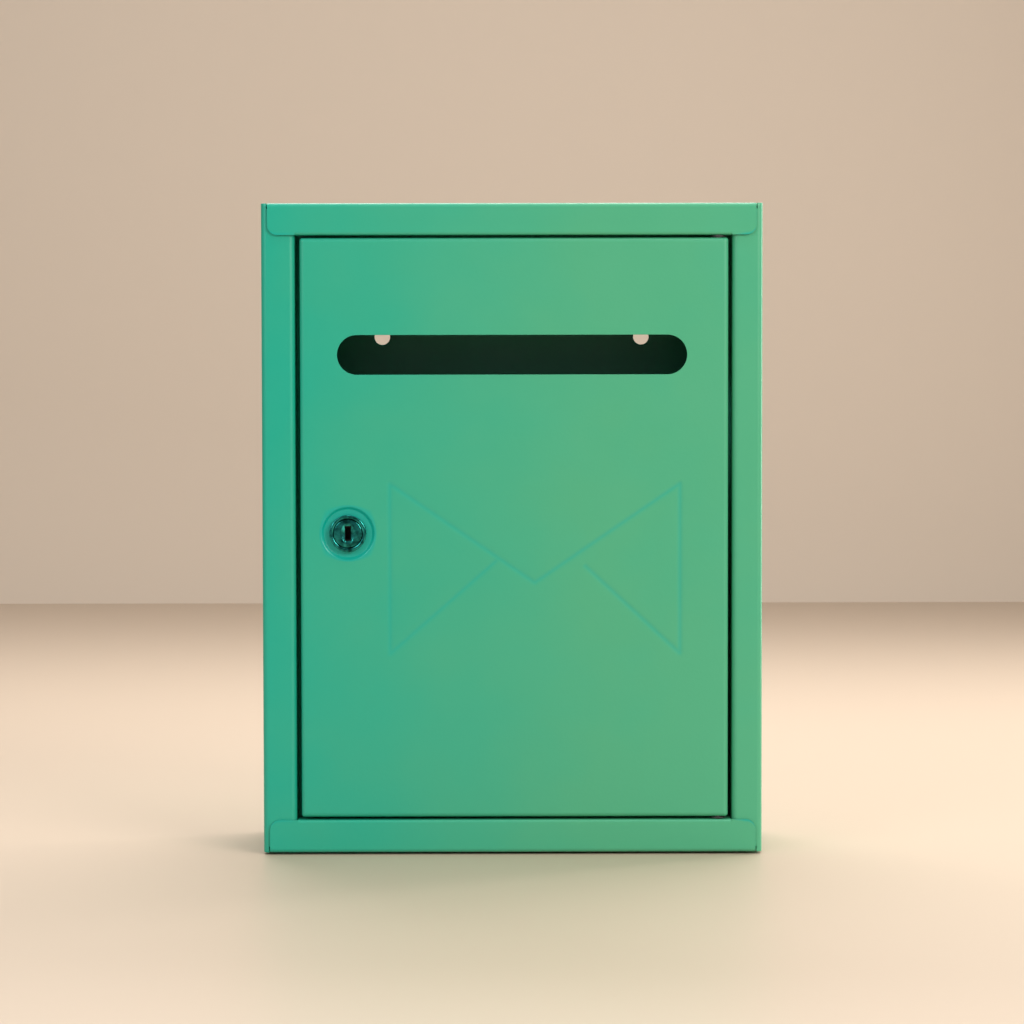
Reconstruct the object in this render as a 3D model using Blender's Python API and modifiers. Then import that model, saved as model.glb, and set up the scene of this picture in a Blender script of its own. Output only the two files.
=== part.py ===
"""Wall-mounted letter box: a folded steel housing, a hinged door with a letter slot, and a cam lock.

X points right, Y points from the door towards the wall and Z points up. The origin lies under the
middle of the box, on the surface that its base stands on. Sizes are in metres.
"""

import math

import bmesh
import bpy
from mathutils import Matrix, Vector

MM = 0.001

# Box
WIDTH = 215 * MM
HEIGHT = 279 * MM
DEPTH = 70 * MM
SHEET = 0.8 * MM
GAP = 0.3 * MM

# Door opening: the widths of the four frame sides around it
LATCH_STILE = 14.4 * MM
HINGE_STILE = 13.0 * MM
TOP_RAIL = 13.6 * MM
BOTTOM_RAIL = 14.1 * MM
STILE_BEND = 2.1 * MM
CAP_BEND = 1.4 * MM
CAP_END_SETBACK = 2.9 * MM
CAP_CORNER = 4.3 * MM
LIP_DEPTH = 9.6 * MM
STOP_REACH = 7.6 * MM
STOP_CLEARANCE = 0.4 * MM
CAP_TAB = 12.0 * MM

# Hanging holes in the back, shaped like a keyhole
HOLE_SPACING = 117 * MM
HOLE_DROP = 55.5 * MM
HOLE_ROUND = 7.0 * MM
HOLE_NECK = 4.4 * MM
HOLE_RISE = 9.0 * MM

# Door
GAP_AT_LATCH = 2.15 * MM
GAP_AT_HINGE = 1.8 * MM
GAP_AT_TOP = 1.2 * MM
GAP_AT_BOTTOM = 1.2 * MM
DOOR_RECESS = 0.3 * MM
DOOR_FLANGE = 13.0 * MM
DOOR_BEND = 2.0 * MM
DOOR_CORNER = 1.2 * MM
SLOT_LENGTH = 150 * MM
SLOT_HEIGHT = 17 * MM
SLOT_DROP = 50 * MM
DISH_MARGIN = 3.6 * MM
DISH_DEPTH = 1.0 * MM

# Hinge
PIN_ACROSS = 3.0 * MM
PIN_MARGIN = 1.9 * MM
PIN_HEAD_RIM = 1.5 * MM
PIN_HEAD = 1.2 * MM
PIN_TIP = 2.4 * MM
GROOVE_DEPTH = 0.4 * MM
CLIP_THICK = 0.6 * MM
CLIP_RIM = 1.1 * MM
WASHER_RIM = 1.9 * MM

# Lock
LOCK_INSET = 20.4 * MM
LOCK_HEIGHT = 122.4 * MM
LOCK_PROUD = 1.3 * MM
HEAD_ACROSS = 15.8 * MM
HEAD_RIM = 1.5 * MM
BARREL_ACROSS = 12.0 * MM
BARREL_WALL = 1.2 * MM
BARREL_FLAT_DEPTH = 0.45 * MM
NUT_WALL = 2.0 * MM
NUT_THICK = 3.2 * MM
TOOTHED_THICK = 0.8 * MM
TOOTHED_MARGIN = 1.0 * MM
PLUG_FACE = 1.0 * MM
KEYWAY_WIDE = 2.6 * MM
KEYWAY_TALL = 6.4 * MM
WAFERS = 5
WAFER_PITCH = 2.0 * MM
WAFER_START = 2.2 * MM
WAFER_THICK = 0.7 * MM
WAFER_WIDE = 6.0 * MM
WAFER_SHY = 0.1 * MM
WAFER_TRAVEL = 0.7 * MM
TANG = 4.6 * MM
STOP_WASHER_THICK = 0.8 * MM
STOP_TAB_ANGLE = math.radians(36)
LOCK_TURN = math.radians(90)
CAM_SHORT_OF_EDGE = 0.4 * MM
CAM_BEHIND_STOP = 0.9 * MM
CAM_WIDE = 11.0 * MM
CAM_THICK = 1.5 * MM
SPRING_WASHER_THICK = 0.7 * MM
SPRING_WASHER_RIM = 2.4 * MM
SCREW_ACROSS = 3.0 * MM
SCREW_HEAD_RIM = 2.0 * MM
SCREW_HEAD = 2.0 * MM
SCREW_LENGTH = 5.9 * MM

# Places that follow from the sizes. The box with its lock head is centred front to back.
FRONT = (LOCK_PROUD - DEPTH) / 2
BACK = FRONT + DEPTH
OPEN_LEFT = LATCH_STILE - WIDTH / 2
OPEN_RIGHT = WIDTH / 2 - HINGE_STILE
OPEN_TOP = HEIGHT - TOP_RAIL
STILE_Y = FRONT + SHEET + GAP + SHEET / 2
STOP_Y = FRONT + DOOR_RECESS + DOOR_FLANGE + STOP_CLEARANCE + SHEET / 2
CAP_END = WIDTH / 2 - CAP_END_SETBACK
HOLE_HEIGHT = HEIGHT - HOLE_DROP
DOOR_LEFT = OPEN_LEFT + GAP_AT_LATCH
DOOR_RIGHT = OPEN_RIGHT - GAP_AT_HINGE
DOOR_BOTTOM = BOTTOM_RAIL + GAP_AT_BOTTOM
DOOR_TOP = OPEN_TOP - GAP_AT_TOP
DOOR_FACE = FRONT + DOOR_RECESS
PIVOT_INSET = SHEET + PIN_ACROSS / 2 + PIN_MARGIN
PIVOT = Vector((DOOR_RIGHT - PIVOT_INSET, DOOR_FACE + PIVOT_INSET, (DOOR_TOP + DOOR_BOTTOM) / 2))
LOCK_FRONT = FRONT - LOCK_PROUD
LOCK = Vector((DOOR_LEFT + LOCK_INSET, LOCK_FRONT, DOOR_BOTTOM + LOCK_HEIGHT))
DISH_FLOOR = DOOR_FACE + DISH_DEPTH
HEAD_BACK = DISH_FLOOR - GAP
PLUG_ACROSS = BARREL_ACROSS - 2 * (BARREL_WALL + GAP)
PLUG_FACE_ACROSS = HEAD_ACROSS - 2 * (HEAD_RIM + GAP)
BARREL_FLATS = BARREL_ACROSS - 2 * BARREL_FLAT_DEPTH
NUT_FLATS = BARREL_ACROSS + 2 * NUT_WALL
CAM_REACH = LOCK_INSET - CAM_SHORT_OF_EDGE
CAM_Y = STOP_Y + SHEET / 2 + CAM_BEHIND_STOP
STOP_WASHER_Y = CAM_Y - GAP - STOP_WASHER_THICK
BARREL_END = STOP_WASHER_Y - GAP
SPRING_WASHER_Y = CAM_Y + CAM_THICK + GAP
SCREW_Y = SPRING_WASHER_Y + SPRING_WASHER_THICK + GAP

FINE = 32
COARSE = 20
FACING_FRONT = Matrix.Rotation(math.radians(90), 4, "X")
ALONG_Y = Matrix.Rotation(math.radians(-90), 4, "X")
TO_BELOW = Matrix.Rotation(math.radians(180), 4, "X")


# Scene, materials and the general ways of making a piece

for old in list(bpy.data.objects):
    bpy.data.objects.remove(old, do_unlink=True)
PARTS = bpy.data.collections.new("wall_letter_box")
CUTTERS = bpy.data.collections.new("cutters")
bpy.context.scene.collection.children.link(PARTS)
bpy.context.scene.collection.children.link(CUTTERS)


def finish(name, colour, roughness, metallic):
    """A plain material with one Principled BSDF."""
    material = bpy.data.materials.new(name)
    material.use_nodes = True
    shader = material.node_tree.nodes["Principled BSDF"]
    shader.inputs["Base Color"].default_value = (*colour, 1)
    shader.inputs["Roughness"].default_value = roughness
    shader.inputs["Metallic"].default_value = metallic
    return material


GREEN_COAT = finish("green_powder_coat", (0.076, 0.43, 0.24), 0.42, 0.0)
ZINC = finish("zinc_plate", (0.62, 0.63, 0.62), 0.35, 1.0)
NICKEL = finish("dark_nickel_plate", (0.07, 0.19, 0.17), 0.22, 1.0)
BRASS = finish("brass", (0.70, 0.52, 0.24), 0.35, 1.0)
NYLON = finish("black_nylon", (0.04, 0.045, 0.045), 0.5, 0.0)


def place(name, mesh, where, material=None):
    """An object in the parts collection, or in the cutters' one when it has no material."""
    piece = bpy.data.objects.new(name, mesh)
    piece.matrix_world = where
    if material:
        mesh.materials.append(material)
        PARTS.objects.link(piece)
    else:
        CUTTERS.objects.link(piece)
        piece.hide_render = True
        piece.display_type = "WIRE"
    return piece


def box(name, low, high, material=None):
    """A box between two opposite corners."""
    low, high = Vector(low), Vector(high)
    size = high - low
    mesh = bpy.data.meshes.new(name)
    bm = bmesh.new()
    bmesh.ops.create_cube(bm, size=1, matrix=Matrix.Diagonal((*size, 1)))
    bm.to_mesh(mesh)
    bm.free()
    return place(name, mesh, Matrix.Translation((low + high) / 2), material)


def rod(name, start, turn, length, radius, end_radius=None, sides=FINE):
    """A closed cylinder or cone frustum that runs from start along the turned Z axis."""
    mesh = bpy.data.meshes.new(name)
    bm = bmesh.new()
    end_radius = radius if end_radius is None else end_radius
    raised = Matrix.Translation((0, 0, length / 2))
    bmesh.ops.create_cone(bm, cap_ends=True, segments=sides, radius1=radius,
                          radius2=end_radius, depth=length, matrix=raised)
    bm.to_mesh(mesh)
    bm.free()
    return place(name, mesh, Matrix.Translation(start) @ turn)


def turned(name, profile, where, material, closed=False, sides=FINE):
    """A piece turned about its Z axis. The profile's (radius, height) points run down its outer side."""
    mesh = bpy.data.meshes.new(name)
    bm = bmesh.new()
    verts = [bm.verts.new((radius, 0, height)) for radius, height in profile]
    for pair in zip(verts, verts[1:] + verts[:1] if closed else verts[1:]):
        bm.edges.new(pair)
    bm.to_mesh(mesh)
    bm.free()
    piece = place(name, mesh, where, material)
    screw = piece.modifiers.new("turn", "SCREW")
    screw.steps = screw.render_steps = sides
    screw.use_merge_vertices = True
    screw.merge_threshold = 0.00001
    screw.use_smooth_shade = True
    return piece


def flat_piece(name, outlines, thickness, where, material=None):
    """A flat piece from an outer outline and its holes, centred on its own XY plane."""
    curve = bpy.data.curves.new(name, "CURVE")
    curve.dimensions = "2D"
    curve.fill_mode = "BOTH"
    curve.extrude = thickness / 2
    for outline in outlines:
        spline = curve.splines.new("POLY")
        spline.points.add(len(outline) - 1)
        for point, (across, up) in zip(spline.points, outline):
            point.co = (across, up, 0, 1)
        spline.use_cyclic_u = True
    guide = bpy.data.objects.new(name, curve)
    CUTTERS.objects.link(guide)
    evaluated = guide.evaluated_get(bpy.context.evaluated_depsgraph_get())
    mesh = bpy.data.meshes.new_from_object(evaluated)
    bpy.data.objects.remove(guide)
    bm = bmesh.new()
    bm.from_mesh(mesh)
    bmesh.ops.remove_doubles(bm, verts=bm.verts, dist=0.000001)
    bm.to_mesh(mesh)
    bm.free()
    return place(name, mesh, where, material)


def arc(centre, radius, start, end, steps):
    """Points on an arc, its angles in degrees, both ends included."""
    angles = [math.radians(start + (end - start) * i / steps) for i in range(steps + 1)]
    return [(centre[0] + radius * math.cos(a), centre[1] + radius * math.sin(a)) for a in angles]


def circle(radius, sides=FINE):
    """A closed circle about the origin."""
    return arc((0, 0), radius, 0, 360 - 360 / sides, sides - 1)


def rectangle(wide, tall):
    """A closed rectangle about the origin."""
    return [(-wide / 2, -tall / 2), (wide / 2, -tall / 2), (wide / 2, tall / 2), (-wide / 2, tall / 2)]


def rounded_path(corners, radius, steps=3):
    """An open path through the corners, with an arc of the given radius at each inner corner."""
    points = [Vector(corners[0])]
    for before, corner, after in zip(corners, corners[1:], corners[2:]):
        corner = Vector(corner)
        back = (Vector(before) - corner).normalized()
        ahead = (Vector(after) - corner).normalized()
        half = back.angle(ahead) / 2
        centre = corner + (back + ahead).normalized() * radius / math.sin(half)
        first = (corner + back * radius / math.tan(half) - centre).normalized()
        last = (corner + ahead * radius / math.tan(half) - centre).normalized()
        points += [centre + first.slerp(last, i / steps) * radius for i in range(steps + 1)]
    points.append(Vector(corners[-1]))
    return points


def folded_sheet(name, path, to_space, low, high, material=None):
    """A strip folded along a path, its middle surface swept from low to high and then thickened."""
    mesh = bpy.data.meshes.new(name)
    bm = bmesh.new()
    verts = [bm.verts.new(to_space(point, low)) for point in path]
    edges = [bm.edges.new(pair) for pair in zip(verts, verts[1:])]
    swept = bmesh.ops.extrude_edge_only(bm, edges=edges)["geom"]
    ends = [item for item in swept if isinstance(item, bmesh.types.BMVert)]
    sweep = Vector(to_space(path[0], high)) - Vector(to_space(path[0], low))
    bmesh.ops.translate(bm, verts=ends, vec=sweep)
    bm.to_mesh(mesh)
    bm.free()
    sheet = place(name, mesh, Matrix.Identity(4), material)
    thicken = sheet.modifiers.new("sheet", "SOLIDIFY")
    thicken.thickness = SHEET
    thicken.offset = 0
    thicken.use_even_offset = True
    return sheet


def combine(piece, other, operation):
    """Cut a piece with another, or join another to it."""
    boolean = piece.modifiers.new(other.name, "BOOLEAN")
    boolean.operation = operation
    boolean.solver = "EXACT"
    boolean.object = other


def cut(piece, *others):
    """Take the other shapes away from a piece."""
    for other in others:
        combine(piece, other, "DIFFERENCE")


def join(piece, *others):
    """Join the other shapes to a piece."""
    for other in others:
        combine(piece, other, "UNION")


def pivot(name, where):
    """An empty on a joint's axis."""
    empty = bpy.data.objects.new(name, None)
    empty.location = where
    PARTS.objects.link(empty)
    return empty


def ride(axis, *pieces):
    """Hang pieces on the empty that carries them, where they are."""
    for piece in pieces:
        piece.parent = axis
        piece.matrix_parent_inverse = Matrix.Translation(axis.location).inverted()


# Housing: the wrap around the back, sides and stiles

def body_wrap():
    """One strip folded round the back: stop ledge, lip, stile, side, back, side, stile and lip."""
    left = SHEET / 2 - WIDTH / 2
    back = BACK - SHEET / 2
    latch_lip = OPEN_LEFT - SHEET / 2
    hinge_lip = OPEN_RIGHT + SHEET / 2
    path = rounded_path([
        (OPEN_LEFT + STOP_REACH, STOP_Y),
        (latch_lip, STOP_Y),
        (latch_lip, STILE_Y),
        (left, STILE_Y),
        (left, back),
        (-left, back),
        (-left, STILE_Y),
        (hinge_lip, STILE_Y),
        (hinge_lip, FRONT + LIP_DEPTH),
    ], STILE_BEND)
    wrap = folded_sheet("body_wrap", path, lambda p, z: (p[0], p[1], z), 0, HEIGHT, GREEN_COAT)
    room = SHEET + CAP_BEND + GAP
    notch_end = CAP_END + GAP
    notch_back = STOP_Y + SHEET
    cut(wrap,
        box("top_notch", (-notch_end, FRONT, HEIGHT - room), (notch_end, notch_back, HEIGHT + room)),
        box("bottom_notch", (-notch_end, FRONT, -room), (notch_end, notch_back, room)))
    for side in (-1, 1):
        x = side * HOLE_SPACING / 2
        start = BACK - 2 * SHEET
        through = 3 * SHEET
        neck = HOLE_NECK / 2
        cut(wrap,
            rod(f"hole_{side}", (x, start, HOLE_HEIGHT), ALONG_Y, through, HOLE_ROUND / 2),
            rod(f"hole_top_{side}", (x, start, HOLE_HEIGHT + HOLE_RISE), ALONG_Y, through, neck),
            box(f"hole_neck_{side}", (x - neck, start, HOLE_HEIGHT),
                (x + neck, start + through, HOLE_HEIGHT + HOLE_RISE)))


def cap(name, outer, inward, rail):
    """A folded tray that closes the top or the bottom: panel, front rail with its lip, and tabs."""
    level = outer + inward * SHEET / 2
    rail_edge = outer + inward * rail
    tab_end = outer + inward * CAP_TAB
    front = FRONT + SHEET / 2
    back_tab = BACK - SHEET - GAP - SHEET / 2
    side_tab = WIDTH / 2 - SHEET - GAP - SHEET / 2
    lengthways = rounded_path([
        (front, outer + inward * (rail - CAP_CORNER)), (front, level), (back_tab, level), (back_tab, tab_end),
    ], CAP_BEND)
    tray = folded_sheet(name, lengthways, lambda p, x: (x, p[0], p[1]), -CAP_END, CAP_END, GREEN_COAT)
    crossways = rounded_path([
        (-side_tab, tab_end), (-side_tab, level), (side_tab, level), (side_tab, tab_end),
    ], CAP_BEND)
    sides = folded_sheet(f"{name}_sides", crossways, lambda p, y: (p[0], y, p[1]),
                         FRONT + 2 * STILE_BEND, back_tab - 2 * CAP_BEND)
    flat_top = outer + inward * (SHEET + CAP_BEND)
    radius = CAP_CORNER
    outline = [(-CAP_END, flat_top)]
    outline += arc((radius - CAP_END, rail_edge - inward * radius), radius, 180, 180 + inward * -90, 6)
    outline += arc((CAP_END - radius, rail_edge - inward * radius), radius, inward * 90, 0, 6)
    outline += [(CAP_END, flat_top)]
    rail_plate = flat_piece(f"{name}_rail", [outline], SHEET, Matrix.Translation((0, front, 0)) @ FACING_FRONT)
    lip_edge = rail_edge - inward * SHEET
    lip = box(f"{name}_lip",
              (OPEN_LEFT + GAP, front, min(rail_edge, lip_edge)),
              (OPEN_RIGHT - GAP, FRONT + LIP_DEPTH, max(rail_edge, lip_edge)))
    bore = PIN_ACROSS / 2 + GAP
    through = 3 * SHEET
    hole = rod(f"{name}_pin_hole", (PIVOT.x, PIVOT.y, rail_edge - through), Matrix.Identity(4),
               2 * through, bore, sides=COARSE)
    join(tray, sides, rail_plate, lip)
    cut(tray, hole)


# Hinge: a headed pin through the lip and the door's flange, a washer between them and a clip

def hinge(prefix, lip_edge, door_edge, turn):
    """One pivot. Its own Z runs away from the door, and turn points that up or down."""
    into_lip = SHEET + GAP
    drop = abs(door_edge - lip_edge)
    radius = PIN_ACROSS / 2
    groove = radius - GROOVE_DEPTH
    head = radius + PIN_HEAD_RIM
    groove_top = -(drop + SHEET)
    groove_end = groove_top - CLIP_THICK - 2 * GAP
    chamfer = radius - groove
    tip = groove_end - PIN_TIP
    where = Matrix.Translation((PIVOT.x, PIVOT.y, lip_edge)) @ turn
    turned(f"{prefix}_hinge_pin", [
        (0, into_lip + PIN_HEAD), (head, into_lip + PIN_HEAD), (head, into_lip), (radius, into_lip),
        (radius, groove_top), (groove, groove_top), (groove, groove_end), (radius, groove_end),
        (radius, tip + chamfer), (groove, tip), (0, tip),
    ], where, ZINC, sides=COARSE)
    inner = radius + GAP
    outer = radius + WASHER_RIM
    turned(f"{prefix}_hinge_washer", [
        (outer, -GAP), (outer, GAP - drop), (inner, GAP - drop), (inner, -GAP),
    ], where, NYLON, closed=True, sides=COARSE)
    mouth = 50
    outline = arc((0, 0), radius + CLIP_RIM, mouth, 360 - mouth, COARSE)
    outline += arc((0, 0), groove + GAP, 360 - mouth, mouth, COARSE)
    clip_middle = groove_top - GAP - CLIP_THICK / 2
    flat_piece(f"{prefix}_hinge_clip", [outline], CLIP_THICK,
               where @ Matrix.Translation((0, 0, clip_middle)), ZINC)


# Door: a pan with a letter slot and a dished seat for the lock

def door_panel():
    """A shallow pan, open at the back, with its front edges rolled and its corners closed."""
    size = Vector((DOOR_RIGHT - DOOR_LEFT, DOOR_FLANGE, DOOR_TOP - DOOR_BOTTOM))
    middle = Vector(((DOOR_RIGHT + DOOR_LEFT) / 2, DOOR_FACE + DOOR_FLANGE / 2, PIVOT.z))
    mesh = bpy.data.meshes.new("door_panel")
    bm = bmesh.new()
    bmesh.ops.create_cube(bm, size=1, matrix=Matrix.Diagonal((*size, 1)))
    open_side = [face for face in bm.faces if face.normal.y > 0.5]
    bmesh.ops.delete(bm, geom=open_side, context="FACES_ONLY")
    depthways = [edge for edge in bm.edges if abs((edge.verts[0].co - edge.verts[1].co).y) > DOOR_FLANGE / 2]
    bmesh.ops.bevel(bm, geom=depthways, offset=DOOR_CORNER, segments=2, profile=0.5, affect="EDGES")
    front_edges = [edge for edge in bm.edges
                   if all(vert.co.y < 0 for vert in edge.verts) and not edge.is_boundary]
    bmesh.ops.bevel(bm, geom=front_edges, offset=DOOR_BEND, segments=3, profile=0.5, affect="EDGES",
                    clamp_overlap=True)
    bm.to_mesh(mesh)
    bm.free()
    door = place("door_panel", mesh, Matrix.Translation(middle), GREEN_COAT)
    thicken = door.modifiers.new("sheet", "SOLIDIFY")
    thicken.thickness = SHEET
    thicken.offset = -1
    thicken.use_even_offset = True

    dish = HEAD_ACROSS / 2 + DISH_MARGIN
    centre = Vector((LOCK.x, 0, LOCK.z))
    boss = rod("dish_back", centre + Vector((0, DOOR_FACE + SHEET / 2, 0)), ALONG_Y,
               DISH_DEPTH + SHEET / 2, dish + SHEET, dish)
    join(door, boss)
    reach = 2 * SHEET
    slot_radius = SLOT_HEIGHT / 2
    slot_half = SLOT_LENGTH / 2 - slot_radius
    slot = arc((slot_half, 0), slot_radius, -90, 90, 10) + arc((-slot_half, 0), slot_radius, 90, 270, 10)
    slot_place = Matrix.Translation((0, DOOR_FACE, DOOR_TOP - SLOT_DROP)) @ FACING_FRONT
    barrel_hole = double_d(BARREL_ACROSS + 2 * GAP, BARREL_FLATS + 2 * GAP)
    lock_place = Matrix.Translation(centre + Vector((0, DOOR_FACE + DISH_DEPTH, 0))) @ FACING_FRONT
    cut(door,
        rod("dish_front", centre + Vector((0, DOOR_FACE - reach, 0)), ALONG_Y, DISH_DEPTH + reach,
            dish + reach / 2, dish - DISH_DEPTH / 2),
        flat_piece("letter_slot", [slot], 4 * SHEET, slot_place),
        flat_piece("barrel_hole", [barrel_hole], 4 * SHEET, lock_place),
        rod("door_pin_holes", (PIVOT.x, PIVOT.y, DOOR_BOTTOM - reach), Matrix.Identity(4),
            DOOR_TOP - DOOR_BOTTOM + 2 * reach, PIN_ACROSS / 2 + GAP, sides=COARSE))
    return door


def double_d(across, flats):
    """A closed circle with its left and right sides cut to flats."""
    radius = across / 2
    cut_angle = math.degrees(math.acos(flats / across))
    upper = arc((0, 0), radius, cut_angle, 180 - cut_angle, 12)
    lower = arc((0, 0), radius, 180 + cut_angle, 360 - cut_angle, 12)
    return upper + lower


# Lock: its barrel and nut stay with the door

def lock_at(y, turn=ALONG_Y):
    """The place on the lock's axis at y, turned to run along it."""
    return Matrix.Translation((LOCK.x, y, LOCK.z)) @ turn


def lock_box(name, half_wide, half_tall, y_low, y_high):
    """A box centred on the lock's axis."""
    return box(name, (LOCK.x - half_wide, y_low, LOCK.z - half_tall),
               (LOCK.x + half_wide, y_high, LOCK.z + half_tall))


def lock_barrel():
    """A turned body with a round head, two flats, a bore for the plug and a stop at its rear end."""
    head = HEAD_ACROSS / 2
    body = BARREL_ACROSS / 2
    bore = PLUG_ACROSS / 2 + GAP
    seat = PLUG_FACE_ACROSS / 2 + GAP
    seat_floor = LOCK_FRONT + GAP + PLUG_FACE + GAP
    bevel = 0.4 * MM
    end = BARREL_END - LOCK_FRONT
    back = HEAD_BACK - LOCK_FRONT
    floor = seat_floor - LOCK_FRONT
    barrel = turned("lock_barrel", [
        (body, end), (body, back), (head, back), (head, bevel), (head - bevel, 0), (seat, 0),
        (seat, floor), (bore, floor), (bore, end),
    ], lock_at(LOCK_FRONT), NICKEL, closed=True)
    flat = BARREL_FLATS / 2
    wide = BARREL_ACROSS
    for side in (-1, 1):
        near, far = sorted((LOCK.x + side * flat, LOCK.x + side * wide))
        cut(barrel, box(f"barrel_flat_{side}", (near, HEAD_BACK, LOCK.z - wide),
                        (far, BARREL_END + wide, LOCK.z + wide)))
    groove_wide = WAFER_WIDE / 2 + 0.2 * MM
    groove_deep = PLUG_ACROSS / 2 - WAFER_SHY + WAFER_TRAVEL + 0.15 * MM
    groove_start = LOCK_FRONT + GAP + PLUG_FACE + WAFER_START - WAFER_PITCH / 2
    cut(barrel,
        lock_box("groove_upright", groove_wide, groove_deep, groove_start, BARREL_END + SHEET),
        lock_box("groove_level", groove_deep, groove_wide, groove_start, BARREL_END + SHEET))
    play = math.radians(5)
    free = math.degrees(LOCK_TURN + STOP_TAB_ANGLE + 2 * play)
    start = 270 - math.degrees(LOCK_TURN + STOP_TAB_ANGLE / 2 + play)
    stop_in = PLUG_ACROSS / 2 + 1.3 * GAP
    stop_out = flat - 0.05 * MM
    outline = arc((0, 0), stop_out, start + free, start + 360, 16)
    outline += arc((0, 0), stop_in, start + 360, start + free, 16)
    stop_height = STOP_WASHER_THICK + GAP
    stop = flat_piece("barrel_stop", [outline], stop_height + SHEET,
                      lock_at(BARREL_END + (stop_height - SHEET) / 2, FACING_FRONT))
    join(barrel, stop)
    return barrel


def toothed_washer():
    """A thin ring with sixteen teeth around its rim, which bites the door behind the barrel's nut."""
    outer = NUT_FLATS / 2 + TOOTHED_MARGIN
    teeth = 16
    rim = []
    for i in range(teeth):
        angle = 360 / teeth * i
        rim += arc((0, 0), outer, angle - 6, angle + 6, 1)
        rim += arc((0, 0), outer - 1.0 * MM, angle + 10, angle + 12.5, 1)
    middle = DISH_FLOOR + SHEET + GAP + TOOTHED_THICK / 2
    return flat_piece("toothed_washer", [rim, circle(BARREL_ACROSS / 2 + GAP)], TOOTHED_THICK,
                      lock_at(middle, FACING_FRONT), ZINC)


def lock_nut():
    """A thin hexagon nut on the barrel's thread."""
    middle = DISH_FLOOR + SHEET + GAP + TOOTHED_THICK + GAP + NUT_THICK / 2
    corner = NUT_FLATS / 2 / math.cos(math.radians(30))
    return flat_piece("lock_nut", [circle(corner, 6), circle(BARREL_ACROSS / 2 + GAP)], NUT_THICK,
                      lock_at(middle, FACING_FRONT), ZINC)


# Lock plug: what the key turns

def lock_plug():
    """A turned plug with a keyway, a slot through it for each wafer, and a square tang for the cam."""
    face = PLUG_FACE_ACROSS / 2
    body = PLUG_ACROSS / 2
    rear = BARREL_END - LOCK_FRONT
    front = GAP
    bevel = 0.3 * MM
    plug = turned("lock_plug", [
        (0, rear), (body, rear), (body, front + PLUG_FACE), (face, front + PLUG_FACE),
        (face, front + bevel), (face - bevel, front), (0, front),
    ], lock_at(LOCK_FRONT), NICKEL)
    tang = lock_box("tang", TANG / 2, TANG / 2, BARREL_END - SHEET, CAM_Y + CAM_THICK - GAP)
    join(plug, tang)
    last_wafer = wafer_y(WAFERS - 1)
    cut(plug, lock_box("keyway", KEYWAY_WIDE / 2, KEYWAY_TALL / 2, LOCK_FRONT - SHEET,
                       last_wafer + WAFER_PITCH / 2))
    for index in range(WAFERS):
        half = WAFER_THICK / 2 + GAP
        y = wafer_y(index)
        cut(plug, lock_box(f"wafer_slot_{index}", WAFER_WIDE / 2 + GAP, PLUG_ACROSS, y - half, y + half))
    screw_tip = SCREW_Y - SCREW_LENGTH - GAP
    cut(plug, rod("screw_hole", (LOCK.x, screw_tip, LOCK.z), ALONG_Y, SCREW_LENGTH + GAP,
                  SCREW_ACROSS / 2 + GAP, sides=COARSE))
    return plug


def wafer_y(index):
    """The middle of a wafer along the plug."""
    return LOCK_FRONT + GAP + PLUG_FACE + WAFER_START + index * WAFER_PITCH


def wafer(index):
    """A flat tumbler with round ends and a window for the key."""
    radius = PLUG_ACROSS / 2 - WAFER_SHY
    half = WAFER_WIDE / 2
    corner = math.degrees(math.acos(half / radius))
    outline = arc((0, 0), radius, corner, 180 - corner, 8)
    outline += arc((0, 0), radius, 180 + corner, 360 - corner, 8)
    window = rectangle(KEYWAY_WIDE + GAP, KEYWAY_TALL - 1.0 * MM)
    return flat_piece(f"wafer_{index + 1}", [outline, window], WAFER_THICK,
                      lock_at(wafer_y(index), FACING_FRONT), BRASS)


def stop_washer():
    """A washer on the tang with one tab, which meets the barrel's stop at both ends of the turn."""
    body = PLUG_ACROSS / 2 + 0.1 * MM
    tab = BARREL_FLATS / 2 - 0.05 * MM
    half = math.degrees(STOP_TAB_ANGLE) / 2
    outline = arc((0, 0), body, 270 + half, 630 - half, COARSE)
    outline += arc((0, 0), tab, 270 - half, 270 + half, 4)
    hole = rectangle(TANG + 2 * GAP, TANG + 2 * GAP)
    return flat_piece("stop_washer", [outline, hole], STOP_WASHER_THICK,
                      lock_at(STOP_WASHER_Y + STOP_WASHER_THICK / 2, FACING_FRONT), ZINC)


def lock_cam():
    """A flat arm on the tang. It hangs down when unlocked, and turns behind the stop ledge to lock."""
    half = CAM_WIDE / 2
    corner = 2.0 * MM
    outline = arc((0, 0), half, 0, 180, 12)
    outline += arc((corner - half, corner - CAM_REACH), corner, 180, 270, 4)
    outline += arc((half - corner, corner - CAM_REACH), corner, 270, 360, 4)
    hole = rectangle(TANG + 2 * GAP, TANG + 2 * GAP)
    return flat_piece("lock_cam", [outline, hole], CAM_THICK,
                      lock_at(CAM_Y + CAM_THICK / 2, FACING_FRONT), ZINC)


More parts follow.
